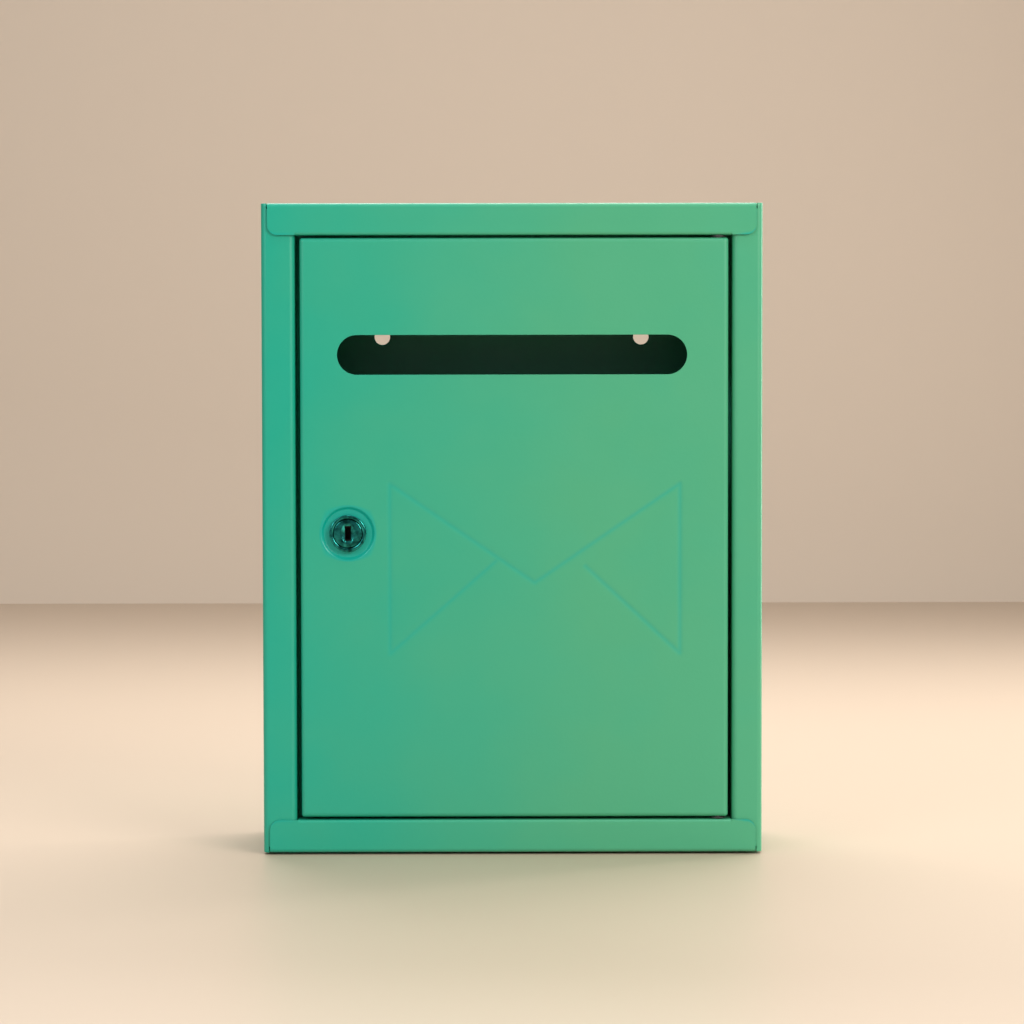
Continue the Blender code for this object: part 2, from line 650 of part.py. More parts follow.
def cam_fastening():
    """A split spring washer and a slotted pan-head screw, which hold the cam on the tang."""
    inner = SCREW_ACROSS / 2 + GAP
    outer = inner + SPRING_WASHER_RIM
    split = 6
    outline = arc((0, 0), outer, split, 360 - split, COARSE)
    outline += arc((0, 0), inner, 360 - split, split, COARSE)
    washer = flat_piece("spring_washer", [outline], SPRING_WASHER_THICK,
                        lock_at(SPRING_WASHER_Y + SPRING_WASHER_THICK / 2, FACING_FRONT), ZINC)
    radius = SCREW_ACROSS / 2
    head = radius + SCREW_HEAD_RIM
    crown = 0.6 * MM
    screw = turned("cam_screw", [
        (0, SCREW_HEAD), (head - crown, SCREW_HEAD), (head, SCREW_HEAD - crown), (head, 0),
        (radius, 0), (radius, -SCREW_LENGTH), (0, -SCREW_LENGTH),
    ], lock_at(SCREW_Y), ZINC, sides=COARSE)
    cut(screw, lock_box("screw_slot", head * 2, 0.4 * MM, SCREW_Y + SCREW_HEAD / 2,
                        SCREW_Y + 2 * SCREW_HEAD))
    return washer, screw


body_wrap()
cap("top_cap", HEIGHT, -1, TOP_RAIL)
cap("bottom_cap", 0, 1, BOTTOM_RAIL)
hinge("upper", OPEN_TOP, DOOR_TOP, Matrix.Identity(4))
hinge("lower", BOTTOM_RAIL, DOOR_BOTTOM, TO_BELOW)

door_axis = pivot("door_axis", PIVOT)
ride(door_axis, door_panel(), lock_barrel(), toothed_washer(), lock_nut())

plug_axis = pivot("plug_axis", LOCK)
ride(plug_axis, lock_plug(), stop_washer(), lock_cam(), *cam_fastening())
ride(plug_axis, *[wafer(index) for index in range(WAFERS)])
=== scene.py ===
"""The finished looks of a small wall-mounted letter box: folded steel under a satin green powder coat,
a hinged door with a letter slot, and a cam lock. X runs to the right, Y from the door to the wall, Z up."""

import math

import bmesh
import bpy
import numpy as np
from mathutils import Matrix, Vector


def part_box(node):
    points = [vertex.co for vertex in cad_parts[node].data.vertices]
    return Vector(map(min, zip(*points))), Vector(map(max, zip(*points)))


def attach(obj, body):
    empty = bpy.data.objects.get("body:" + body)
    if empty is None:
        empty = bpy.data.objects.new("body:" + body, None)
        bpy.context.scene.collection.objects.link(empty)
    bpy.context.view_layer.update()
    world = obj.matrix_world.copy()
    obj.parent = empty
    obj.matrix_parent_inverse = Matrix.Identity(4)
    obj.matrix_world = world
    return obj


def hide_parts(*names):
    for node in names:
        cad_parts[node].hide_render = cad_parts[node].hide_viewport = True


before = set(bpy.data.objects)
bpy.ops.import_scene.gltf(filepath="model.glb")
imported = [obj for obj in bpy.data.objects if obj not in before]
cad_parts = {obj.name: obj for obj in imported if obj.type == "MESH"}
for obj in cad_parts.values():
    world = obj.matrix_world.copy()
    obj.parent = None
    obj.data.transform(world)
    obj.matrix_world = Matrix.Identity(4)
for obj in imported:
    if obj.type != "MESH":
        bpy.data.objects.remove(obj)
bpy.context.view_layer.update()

# Powder coat: a satin sea-green polyester film about 80 microns thick, baked over the steel. It flows
# into a fine orange peel, and its gloss and tone drift a little from place to place.

MM = 0.001
# Painted side light: the coat runs from a cool-lit green on the latch side to a warm-lit green on the hinge
# side.
GREEN_IN_COOL_LIGHT = (0.008, 0.405, 0.282)
GREEN_IN_WARM_LIGHT = (0.072, 0.415, 0.226)
# Painted shade: the teal the coat takes in the door's grooves, in the lock's dish and along the rails' edges.
GREEN_IN_PAINTED_SHADE = (0.000, 0.400, 0.320)
SIDE_LIGHT_LEFT, SIDE_LIGHT_RIGHT = -108 * MM, 40 * MM
SIDE_LIGHT_FRONT, SIDE_LIGHT_BACK = -28 * MM, 30 * MM
EVEN_SHARE = 0.6
TONE_PATCH, GLOSS_PATCH = 45 * MM, 25 * MM
PEEL_SIZE = 1.5 * MM
PEEL_HEIGHT = 0.012 * MM
GRAIN_SIZE = 0.45 * MM


def helpers_for(material):
    """Two helpers for a material: one adds a node with its inputs or settings, the other links sockets."""
    def add(kind, **values):
        node = material.node_tree.nodes.new(kind)
        for key, value in values.items():
            if key in node.inputs:
                node.inputs[key].default_value = value
            else:
                setattr(node, key, value)
        return node

    return add, material.node_tree.links.new


def new_finish(name):
    """A material, its one Principled shader and its two helpers."""
    material = bpy.data.materials.new(name)
    material.use_nodes = True
    return material, material.node_tree.nodes["Principled BSDF"], *helpers_for(material)


def ramp(add, link, source, start, end, low=0.0, high=1.0):
    """A value that goes from low to high as the source goes from start to end, and no further."""
    spread = add("ShaderNodeMapRange")
    for key, value in (("From Min", start), ("From Max", end), ("To Min", low), ("To Max", high)):
        spread.inputs[key].default_value = value
    link(source, spread.inputs["Value"])
    return spread.outputs["Result"]


def blend(add, link, kind, share, a, b):
    """A mix of two numbers (FLOAT) or colours (RGBA), each given as it is or as another node's socket."""
    mix = add("ShaderNodeMix", data_type=kind)
    link(share, mix.inputs["Factor"])
    for key, value in (("A", a), ("B", b)):
        if isinstance(value, bpy.types.NodeSocket):
            link(value, mix.inputs[key])
        else:
            mix.inputs[key].default_value = value if kind == "FLOAT" else (*value, 1)
    return mix.outputs["Result"]


def drift(add, link, size, low, high, detail=2.0):
    """A value that wanders between low and high over patches of the given size."""
    where = add("ShaderNodeTexCoord")
    noise = add("ShaderNodeTexNoise", Scale=1 / size, Detail=detail)
    link(where.outputs["Object"], noise.inputs["Vector"])
    return ramp(add, link, noise.outputs["Fac"], 0.32, 0.68, low, high)


def powder_coat():
    """The green film: across the front it carries painted side light, cool on the latch side and warm on the
    hinge side, evening out towards the back. Its tone wanders a little on the way, and painted shade tints it
    teal in the door's grooves and dish and along the rails' edges. Gloss has a broad drift, and peel and
    grain bump it."""
    material, shader, add, link = new_finish("green_powder_coat")
    where = add("ShaderNodeTexCoord")
    axes = add("ShaderNodeSeparateXYZ")
    link(where.outputs["Object"], axes.inputs["Vector"])
    # Painted side light across the front, cool on the latch side and warm on the hinge side, evening out
    # towards the back.
    across = ramp(add, link, axes.outputs["X"], SIDE_LIGHT_LEFT, SIDE_LIGHT_RIGHT)
    inward = ramp(add, link, axes.outputs["Y"], SIDE_LIGHT_FRONT, SIDE_LIGHT_BACK)
    side_light_and_drift = add("ShaderNodeMath", operation="ADD", use_clamp=True)
    link(blend(add, link, "FLOAT", inward, across, EVEN_SHARE), side_light_and_drift.inputs[0])
    link(drift(add, link, TONE_PATCH, -0.10, 0.10), side_light_and_drift.inputs[1])
    tone = blend(add, link, "RGBA", side_light_and_drift.outputs["Value"], GREEN_IN_COOL_LIGHT, GREEN_IN_WARM_LIGHT)
    # Painted shade: teal wherever the attribute marks grooves, the dish or the rails' edges.
    hollow = add("ShaderNodeAttribute", attribute_name="hollow")
    deep = blend(add, link, "RGBA", hollow.outputs["Fac"], tone, GREEN_IN_PAINTED_SHADE)
    link(deep, shader.inputs["Base Color"])
    link(drift(add, link, GLOSS_PATCH, 0.31, 0.37), shader.inputs["Roughness"])
    shader.inputs["Specular IOR Level"].default_value = 0.5
    peel = add("ShaderNodeBump", Strength=1.0, Distance=PEEL_HEIGHT)
    link(drift(add, link, PEEL_SIZE, 0.0, 1.0), peel.inputs["Height"])
    grain = add("ShaderNodeBump", Strength=0.5, Distance=PEEL_HEIGHT / 3)
    link(drift(add, link, GRAIN_SIZE, 0.0, 1.0, 1.0), grain.inputs["Height"])
    link(peel.outputs["Normal"], grain.inputs["Normal"])
    link(grain.outputs["Normal"], shader.inputs["Normal"])
    return material


COAT = powder_coat()


# Wrap: one strip of 0.8 mm steel folded in a brake round the back, both sides and both front stiles.
# It ends in a lip along each side of the door opening, and the lock side's lip carries a stop ledge.
# Two keyhole slots punched in the back hang it on screws.

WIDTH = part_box("body_wrap")[1][0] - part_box("body_wrap")[0][0]
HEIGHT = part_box("body_wrap")[1][2]
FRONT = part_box("top_cap")[0][1]
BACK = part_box("body_wrap")[1][1]
DOOR_LOW, DOOR_HIGH = (np.array(corner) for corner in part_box("door_panel"))
SHEET = 0.8 * MM
FIT = 0.3 * MM
LATCH_GAP = 2.15 * MM
HINGE_GAP = 1.8 * MM
STILE_BEND = 2.1 * MM
CAP_BEND = 1.4 * MM
CAP_END = WIDTH / 2 - 2.9 * MM
LIP_DEPTH = 9.6 * MM
STOP_REACH = 7.6 * MM
STOP_CLEARANCE = 0.4 * MM
HOLE_SPACING = 117 * MM
HOLE_DROP = 55.5 * MM
HOLE_ROUND = 3.5 * MM
HOLE_NECK = 2.2 * MM
HOLE_RISE = 9.0 * MM
HOLE_PATCH = np.array([(-7, -7), (7, 16)]) * MM
OPEN_LEFT = DOOR_LOW[0] - LATCH_GAP
OPEN_RIGHT = DOOR_HIGH[0] + HINGE_GAP
STOP_Y = DOOR_HIGH[1] + STOP_CLEARANCE + SHEET / 2
ARC_STEP = 9
FLAT_STEP = 9 * MM
CUT_EDGE = 0.14 * MM


def fold_pieces(corners, radius):
    """A folded strip as pieces of even curvature, in turn a straight run and an arc. Each arc takes
    radius times tan(half the turn) off the runs beside it. Returns starts, headings, curvatures."""
    run = np.diff(np.asarray(corners, float), axis=0)
    heading = np.unwrap(np.arctan2(run[:, 1], run[:, 0]))
    turn = np.diff(heading)
    taken = radius * np.tan(np.abs(turn) / 2)
    length = np.zeros(2 * len(run) - 1)
    length[0::2] = np.hypot(*run.T) - np.r_[0, taken] - np.r_[taken, 0]
    length[1::2] = radius * np.abs(turn)
    bend = np.zeros_like(length)
    bend[1::2] = np.sign(turn) / radius
    return np.r_[0, np.cumsum(length)], np.repeat(heading, 2)[:-1], bend


def folded(along, corners, radius):
    """Where a distance along the flat strip lies once it is folded. Inside a piece of curvature k that
    starts at heading h, t further on is the chord t sinc(kt/2) long at heading h + kt/2."""
    start, heading, bend = fold_pieces(corners, radius)
    length = np.diff(start)

    def chord(t, h, k):
        reach = t * np.sinc(k * t / 2 / math.pi)
        return np.stack([reach * np.cos(h + k * t / 2), reach * np.sin(h + k * t / 2)], -1)

    begin = np.vstack([[0, 0], np.cumsum(chord(length, heading, bend), axis=0)]) + corners[0]
    which = np.clip(np.searchsorted(start, along, side="right") - 1, 0, len(length) - 1)
    return begin[which] + chord(along - start[which], heading[which], bend[which])


def spaced(stops, step):
    """Stops with even divisions between them, each no longer than the step for that stretch."""
    stops = np.asarray(stops, float)
    steps = np.broadcast_to(step, len(stops) - 1)
    counts = np.maximum(1, np.ceil(np.diff(stops) / steps - 1e-6)).astype(int)
    parts = [np.linspace(a, b, n + 1)[1:] for a, b, n in zip(stops, stops[1:], counts)]
    return np.concatenate([stops[:1], *parts])


def fold_stations(corners, radius, extra=()):
    """Stations along a folded strip: even steps on the flats, nine degrees on the arcs, and extra stops."""
    start, _, bend = fold_pieces(corners, radius)
    stops = np.unique(np.round(np.r_[start, extra], 9))
    middle = (stops[1:] + stops[:-1]) / 2
    piece = np.clip(np.searchsorted(start, middle, side="right") - 1, 0, len(bend) - 1)
    fine = math.radians(ARC_STEP) / np.maximum(np.abs(bend[piece]), 1)
    return spaced(stops, np.where(bend[piece] == 0, FLAT_STEP, fine))


def skin(points, close_u=False, close_v=False, keep=None):
    """A grid of points as (vertices, faces), joined end to end along u or v if closed. keep picks cells.
    Seen from outside, v runs to the left of u."""
    nu, nv = points.shape[:2]
    index = np.arange(nu * nv).reshape(nu, nv)
    if close_u:
        index = np.vstack([index, index[:1]])
    if close_v:
        index = np.hstack([index, index[:, :1]])
    quads = np.stack([index[:-1, :-1], index[1:, :-1], index[1:, 1:], index[:-1, 1:]], -1)
    quads = quads[keep] if keep is not None else quads.reshape(-1, 4)
    return points.reshape(-1, 3), quads


def flip(part):
    """The same surface facing the other way."""
    return part[0], part[1][:, ::-1]


def grid_of(u, v):
    """Every crossing of two sets of lines."""
    return np.stack(np.meshgrid(u, v, indexing="ij"), -1)


def border(u, v):
    """The points round a rectangle of grid lines, once round anticlockwise from its lower left corner."""
    at = grid_of(u, v)
    return np.vstack([at[:-1, 0], at[-1, :-1], at[:0:-1, -1], at[0, :0:-1]])


def lines_within(lines, low, high):
    """The grid lines from low to high."""
    return lines[(lines > low - 1e-7) & (lines < high + 1e-7)]


def outside(u, v, low, high):
    """Which cells of a grid lie outside the rectangle from low to high."""
    mid_u = (u[1:] + u[:-1]) / 2
    mid_v = (v[1:] + v[:-1]) / 2
    in_u = (mid_u > low[0]) & (mid_u < high[0])
    in_v = (mid_v > low[1]) & (mid_v < high[1])
    return ~(in_u[:, None] & in_v[None, :])


def window(u, v, low, high):
    """The grid lines inside a rectangle, and which of the grid's cells lie outside those."""
    inner_u, inner_v = lines_within(u, low[0], high[0]), lines_within(v, low[1], high[1])
    return inner_u, inner_v, outside(u, v, (inner_u[0], inner_v[0]), (inner_u[-1], inner_v[-1]))


def ray_outline(distance, angles, reach):
    """How far each ray from the origin goes before it leaves a shape, found by halving. distance(x, y)
    is below zero inside the shape."""
    near, far = np.zeros_like(angles), np.full_like(angles, reach)
    for _ in range(40):
        middle = (near + far) / 2
        inside = distance(middle * np.cos(angles), middle * np.sin(angles)) < 0
        near, far = np.where(inside, middle, near), np.where(inside, far, middle)
    return near


def build(name, parts, finish, body=None, nodes=()):
    """An object from (vertices, faces) parts: doubles merged, smooth, riding its body for its nodes."""
    verts = np.vstack([part[0] for part in parts])
    starts = np.cumsum([0] + [len(part[0]) for part in parts[:-1]])
    faces = [face for (_, quads), first in zip(parts, starts) for face in (quads + first).tolist()]
    mesh = bpy.data.meshes.new(name)
    mesh.from_pydata(verts, [], faces)
    bm = bmesh.new()
    bm.from_mesh(mesh)
    bmesh.ops.remove_doubles(bm, verts=bm.verts, dist=2e-6)
    loose = [vert for vert in bm.verts if not vert.link_faces]
    bmesh.ops.delete(bm, geom=loose, context="VERTS")
    for face in bm.faces:
        face.smooth = True
    bm.to_mesh(mesh)
    bm.free()
    mesh.materials.append(finish)
    piece = bpy.data.objects.new(name, mesh)
    bpy.context.scene.collection.objects.link(piece)
    if body:
        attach(piece, body)
        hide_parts(*nodes)
    return piece


def make_sheet(piece, offset=0.0):
    """Gives a surface the sheet's thickness, rounds its cut edges, and weighs its normals by area."""
    thick = piece.modifiers.new("sheet", "SOLIDIFY")
    thick.thickness = SHEET
    thick.offset = offset
    thick.use_even_offset = True
    soften(piece)


def soften(piece, width=CUT_EDGE, angle=50):
    """Rounds edges sharper than the angle and weighs the normals by area, so that flats stay flat."""
    edge = piece.modifiers.new("edge", "BEVEL")
    edge.width = width
    edge.segments = 2
    edge.limit_method = "ANGLE"
    edge.angle_limit = math.radians(angle)
    even = piece.modifiers.new("even", "WEIGHTED_NORMAL")
    even.keep_sharp = False


def keyhole(x, y):
    """Distance outside a hanging slot about its round part: a disc joined to an upright neck."""
    disc = np.hypot(x, y) - HOLE_ROUND
    neck = np.hypot(x, y - np.clip(y, 0, HOLE_RISE)) - HOLE_NECK
    return np.minimum(disc, neck)


def rings_between(edge, rim, count):
    """Loops that divide the way from a hole's edge to the rim round it evenly."""
    share = np.linspace(0, 1, count + 1)[:, None, None]
    return edge * (1 - share) + rim * share


def keyhole_patch(u, v, at):
    """Rings from a keyhole's edge out to the grid lines round it. Each border point runs along its ray
    from the hole's round part, and the rings divide the way."""
    rim = border(u, v) - at
    angle = np.arctan2(rim[:, 1], rim[:, 0])
    reach = ray_outline(keyhole, angle, HOLE_ROUND + HOLE_RISE)
    edge = reach[:, None] * np.stack([np.cos(angle), np.sin(angle)], -1)
    return at + rings_between(edge, rim, 4)


def wrap():
    """The strip in its flat pattern, u along the fold and v up, then folded about its middle surface."""
    stile_y = FRONT + SHEET + FIT + SHEET / 2
    back = BACK - SHEET / 2
    side = WIDTH / 2 - SHEET / 2
    corners = np.array([
        (OPEN_LEFT + STOP_REACH, STOP_Y),
        (OPEN_LEFT - SHEET / 2, STOP_Y),
        (OPEN_LEFT - SHEET / 2, stile_y),
        (-side, stile_y),
        (-side, back),
        (side, back),
        (side, stile_y),
        (OPEN_RIGHT + SHEET / 2, stile_y),
        (OPEN_RIGHT + SHEET / 2, FRONT + LIP_DEPTH),
    ])
    start = fold_pieces(corners, STILE_BEND)[0]
    left_stile_end, back_start, back_end, right_stile_start = start[[5, 8, 9, 12]]
    middle = (back_start + back_end) / 2
    hole_v = HEIGHT - HOLE_DROP
    low, high = HOLE_PATCH
    holes = [np.array([middle + way * HOLE_SPACING / 2, hole_v]) for way in (-1, 1)]
    lines = np.linspace(low[0], high[0], 19)
    u = fold_stations(corners, STILE_BEND, np.concatenate([hole[0] + lines for hole in holes]))
    notch = SHEET + CAP_BEND + FIT
    v = spaced([0, notch, hole_v + low[1], hole_v + high[1], HEIGHT - notch, HEIGHT],
               [2 * MM, FLAT_STEP, 1 * MM, FLAT_STEP, 2 * MM])
    keep = np.ones((len(u) - 1, len(v) - 1), bool)
    parts = []
    for hole in holes:
        around_u, around_v, beside = window(u, v, hole + low, hole + high)
        keep &= beside
        parts.append(keyhole_patch(around_u, around_v, hole))
    for stile_from, stile_to in ((-1, left_stile_end), (right_stile_start, 1)):
        keep &= outside(u, v, (stile_from, -1), (stile_to, notch))
        keep &= outside(u, v, (stile_from, HEIGHT - notch), (stile_to, 1))

    def fold_up(points):
        across = folded(points[..., 0].ravel(), corners, STILE_BEND).reshape(*points.shape[:2], 2)
        return np.concatenate([across, points[..., 1:]], -1)

    shells = [skin(fold_up(grid_of(u, v)), keep=keep)]
    shells += [skin(fold_up(ring), close_v=True) for ring in parts]
    make_sheet(build("body_wrap_steel", shells, COAT, "housing", ["body_wrap"]))


wrap()


# Caps: a folded tray closes the top and another the bottom, spot-welded between the sides by its tabs.
# Each front rail laps over the stiles, with its corners rounded off, and a lip behind it holds a pin.

RAIL_CORNER = 4.3 * MM
CAP_TAB = 12.0 * MM
LIP_BEND = 0.9 * MM
PIN_ROUND = 1.5 * MM
PIN_HOLE = PIN_ROUND + FIT
PIN_X = DOOR_HIGH[0] - 4.2 * MM
PIN_Y = DOOR_LOW[1] + 4.2 * MM
PIN_PATCH = 2.6 * MM
PIN_STEP = 0.4 * MM
EAR_STEP = 0.5 * MM
TOP_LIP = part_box("top_cap")[0][2]
BOTTOM_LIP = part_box("bottom_cap")[1][2]


def round_patch(u, v, at, radius):
    """Rings from a round hole's edge out to the grid lines round it, along rays from its centre."""
    rim = border(u, v) - at
    return at + rings_between(radius * rim / np.hypot(*rim.T)[:, None], rim, 3)


def rounded_corner(x, drop, end, radius):
    """How far below the corner's start a point of the rail lies: near the end, the depth left under the
    quarter circle shrinks it, so that the edge row follows the circle."""
    into = np.clip(np.abs(x) - (end - radius), 0, radius)
    left = np.sqrt(np.maximum(radius ** 2 - into ** 2, 0)) / radius
    return np.where(drop > 0, drop * left, drop)


def points_of(piece):
    """Every vertex of a piece, one row each."""
    at = np.empty(3 * len(piece.data.vertices))
    piece.data.vertices.foreach_get("co", at)
    return at.reshape(-1, 3)


def paint_shade_share(piece, share):
    """Tells the coat how much painted shade each vertex takes, from 0 to 1."""
    hollow = piece.data.attributes.new("hollow", "FLOAT", "POINT")
    hollow.data.foreach_set("value", share.astype(np.float32))


def on_open_edge(piece):
    """1 for each vertex on an edge that only one face has, otherwise 0."""
    mesh = piece.data
    used = np.empty(len(mesh.loops), int)
    mesh.loops.foreach_get("edge_index", used)
    ends = np.empty(2 * len(mesh.edges), int)
    mesh.edges.foreach_get("vertices", ends)
    open_edges = np.bincount(used, minlength=len(mesh.edges)) == 1
    marked = np.zeros(len(mesh.vertices))
    marked[ends.reshape(-1, 2)[open_edges]] = 1
    return marked


def cap(node, outer, inward, rail):
    """The tray's flat pattern: rail, panel and back tab in one run, ears and lip below the rail, and a
    tab at each side. Heights are distances inward from the outer face, turned to z at the end."""
    level = SHEET / 2
    front = FRONT + SHEET / 2
    back_tab = BACK - SHEET - FIT - SHEET / 2
    side_tab = WIDTH / 2 - SHEET - FIT - SHEET / 2
    lip_start = rail - SHEET / 2 - LIP_BEND
    corner_start = rail - RAIL_CORNER
    low_x, high_x = OPEN_LEFT + FIT, OPEN_RIGHT - FIT
    quarter = CAP_END - RAIL_CORNER + RAIL_CORNER * np.sin(np.linspace(0, math.pi / 2, 11))
    by_pin = [PIN_X - PIN_PATCH, PIN_X + PIN_PATCH]
    x = spaced(np.unique(np.r_[-quarter, low_x, by_pin, PIN_X, high_x, quarter].round(9)), FLAT_STEP)
    x = np.unique(np.r_[x, spaced(by_pin, PIN_STEP)].round(9))

    def place(across, along, height):
        return np.stack(np.broadcast_arrays(across, along, outer + inward * height), -1)

    def round_off(across, height):
        return corner_start + rounded_corner(across, height - corner_start, CAP_END, RAIL_CORNER)

    run = np.array([(front, lip_start), (front, level), (back_tab, level), (back_tab, CAP_TAB)])
    start = fold_pieces(run, CAP_BEND)[0]
    panel_from, panel_to = start[2], start[3]
    tab_from = panel_from + (FRONT + 2 * STILE_BEND - (front + CAP_BEND))
    tab_to = panel_to - CAP_BEND
    w = fold_stations(run, CAP_BEND, [lip_start - corner_start, tab_from, tab_to])
    yz = folded(w, run, CAP_BEND)
    height = np.where(w <= start[1], round_off(x[:, None], yz[:, 1]), yz[:, 1])
    parts = [skin(place(x[:, None], yz[:, 0], height))]

    ear_height = spaced([rail, lip_start], EAR_STEP)
    for ear in (x[x < low_x + 1e-7, None], x[x > high_x - 1e-7, None]):
        parts.append(skin(place(ear, front, round_off(ear, ear_height))))

    lip = np.array([(front, lip_start), (front, rail - SHEET / 2), (FRONT + LIP_DEPTH, rail - SHEET / 2)])
    lip_x = lines_within(x, low_x, high_x)
    lip_w = fold_stations(lip, LIP_BEND)
    lip_flat = fold_pieces(lip, LIP_BEND)[0][2]
    at = np.array([PIN_X, lip_flat + PIN_Y - (front + LIP_BEND)])
    low, high = at - PIN_PATCH, at + PIN_PATCH
    lip_stops = np.r_[lip_w[lip_w <= lip_flat + 1e-7], low[1], high[1], lip_w[-1]]
    lip_w = spaced(np.unique(lip_stops.round(9)), PIN_STEP)
    pin_x, pin_w, keep = window(lip_x, lip_w, low, high)
    around = round_patch(pin_x, pin_w, at, PIN_HOLE)

    def fold_lip(points):
        yz = folded(points[..., 1].ravel(), lip, LIP_BEND).reshape(*points.shape[:2], 2)
        return place(points[..., 0], yz[..., 0], yz[..., 1])

    parts += [flip(skin(fold_lip(grid_of(lip_x, lip_w)), keep=keep)),
              flip(skin(fold_lip(around), close_v=True))]

    tab = np.array([(CAP_END, level), (side_tab, level), (side_tab, CAP_TAB)])
    tab_u = fold_stations(tab, CAP_BEND)
    tab_y = front + CAP_BEND + lines_within(w, tab_from, tab_to) - panel_from
    out = folded(tab_u, tab, CAP_BEND)
    for way in (-1, 1):
        line = out[::way]
        parts.append(skin(place(way * line[:, :1], tab_y, line[:, 1:])))
    piece = build(f"{node}_steel", parts, COAT, "housing", [node])
    at = points_of(piece)
    # Painted shade along the rails' edges over the stiles, where the seam lies.
    over_stile = (at[:, 0] < low_x - 1e-6) | (at[:, 0] > high_x + 1e-6)
    paint_shade_share(piece, on_open_edge(piece) * over_stile * (np.abs(at[:, 1] - front) < 1e-6))
    make_sheet(piece)


cap("top_cap", HEIGHT, -1, HEIGHT - TOP_LIP)
cap("bottom_cap", 0, 1, BOTTOM_LIP)


# Door: a pan pressed from the same sheet, its front edges rolled and its flanges 13 mm deep. A slot
# takes the letters, a dished seat lets the lock's head sit low, and a faint envelope is coined beside it.

ROLL = 2.0 * MM
PAN_CORNER = 1.2 * MM
SLOT_HALF = 75 * MM
SLOT_ROUND = 8.5 * MM
SLOT_Z = DOOR_HIGH[2] - 50 * MM
LOCK_LOW, LOCK_HIGH = (np.array(corner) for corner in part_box("lock_barrel"))
LOCK_X = (LOCK_LOW[0] + LOCK_HIGH[0]) / 2
LOCK_Z = (LOCK_LOW[2] + LOCK_HIGH[2]) / 2
LOCK_FRONT = LOCK_LOW[1]
DISH_ROUND = 11.5 * MM
DISH_DEPTH = 1.0 * MM
DISH_WALL = 0.9 * MM
DISH_PATCH = 14 * MM
DOOR_PIN_PATCH = 2.05 * MM
BARREL_ROUND = 6.0 * MM
BARREL_FLAT = 5.55 * MM
ENVELOPE = np.array([(-52.6, 86.0), (71.9, 159.0)]) * MM
ENVELOPE_TIP = np.array([9.6, 116.5]) * MM
ENVELOPE_MEETS = np.array([(-7.2, 125.7), (31.3, 123.6)]) * MM
LINE_WIDE = 0.85 * MM
LINE_DEEP = 0.2 * MM
LINE_SHADE, DISH_SHADE = 0.45, 0.95


def to_line(x, z, a, b):
    """Distance from points to the stretch from a to b: the nearest share of the way, held from 0 to 1."""
    a, b = np.asarray(a), np.asarray(b)
    along = b - a
    share = np.clip(((x - a[0]) * along[0] + (z - a[1]) * along[1]) / (along @ along), 0, 1)
    return np.hypot(x - a[0] - share * along[0], z - a[1] - share * along[1])


def envelope_depth(x, z):
    """The coined lines: a bell-shaped groove about the nearest of the envelope's six strokes."""
    (left, bottom), (right, top) = ENVELOPE
    strokes = [((left, bottom), (left, top)), ((right, bottom), (right, top)),
               ((left, top), ENVELOPE_TIP), ((right, top), ENVELOPE_TIP),
               ((left, bottom), ENVELOPE_MEETS[0]), ((right, bottom), ENVELOPE_MEETS[1])]
    nearest = np.min([to_line(x, z, a, b) for a, b in strokes], axis=0)
    return LINE_DEEP * np.exp(-(nearest / LINE_WIDE) ** 2)


def slot_patch(u, v, at, half, radius):
    """Rings from an oblong hole's edge to the lines round it, each along the line from its long axis."""
    rim = border(u, v) - at
    spine = np.stack([np.clip(rim[:, 0], -half, half), np.zeros(len(rim))], -1)
    away = rim - spine
    return at + rings_between(spine + radius * away / np.hypot(*away.T)[:, None], rim, 4)


def dish_rings(u, v, at):
    """The lock's seat: from the barrel's flat-sided hole, over the floor, up a sloping wall with soft
    corners, to the lines round it. Returns the rings and the depth of each."""
    rim = border(u, v) - at
    ray = rim / np.hypot(*rim.T)[:, None]
    hole = ray * (BARREL_ROUND + FIT)
    hole[:, 0] = np.clip(hole[:, 0], -BARREL_FLAT - FIT, BARREL_FLAT + FIT)
    wall = np.linspace(-1, 1, 13)
    radius = DISH_ROUND - 0.6 * MM + wall * DISH_WALL
    depth = DISH_DEPTH * (0.5 - 0.5 * np.sin(wall * math.pi / 2))
    floor = rings_between(hole, ray * radius[0], 3)
    walls = radius[1:, None, None] * ray
    lead = rings_between(walls[-1], rim, 3)[1:]
    depths = np.r_[np.full(4, DISH_DEPTH), depth[1:], np.zeros(3)]
    return at + np.concatenate([floor, walls, lead]), depths


def pan_loop(x, z, half, grow, radius, corner_steps=5):
    """Once round the pan anticlockwise at a distance grow outside the flat: the flat's lines on each
    side, drawn in to leave room for a quarter circle of the radius at each corner."""
    wide, tall = half + grow
    x, z = x * (wide - radius) / half[0], z * (tall - radius) / half[1]
    turn = np.linspace(0, math.pi / 2, corner_steps + 2)[1:-1]

    def corner(way_x, way_z, first):
        angle = first + turn
        return np.stack([way_x * (wide - radius) + radius * np.cos(angle),
                         way_z * (tall - radius) + radius * np.sin(angle)], -1)

    quarter = math.pi / 2
    return np.vstack([
        np.stack([x, np.full_like(x, -tall)], -1), corner(1, -1, -quarter),
        np.stack([np.full_like(z, wide), z], -1), corner(1, 1, 0),
        np.stack([x[::-1], np.full_like(x, tall)], -1), corner(-1, 1, quarter),
        np.stack([np.full_like(z, -wide), z[::-1]], -1), corner(-1, -1, 2 * quarter),
    ])


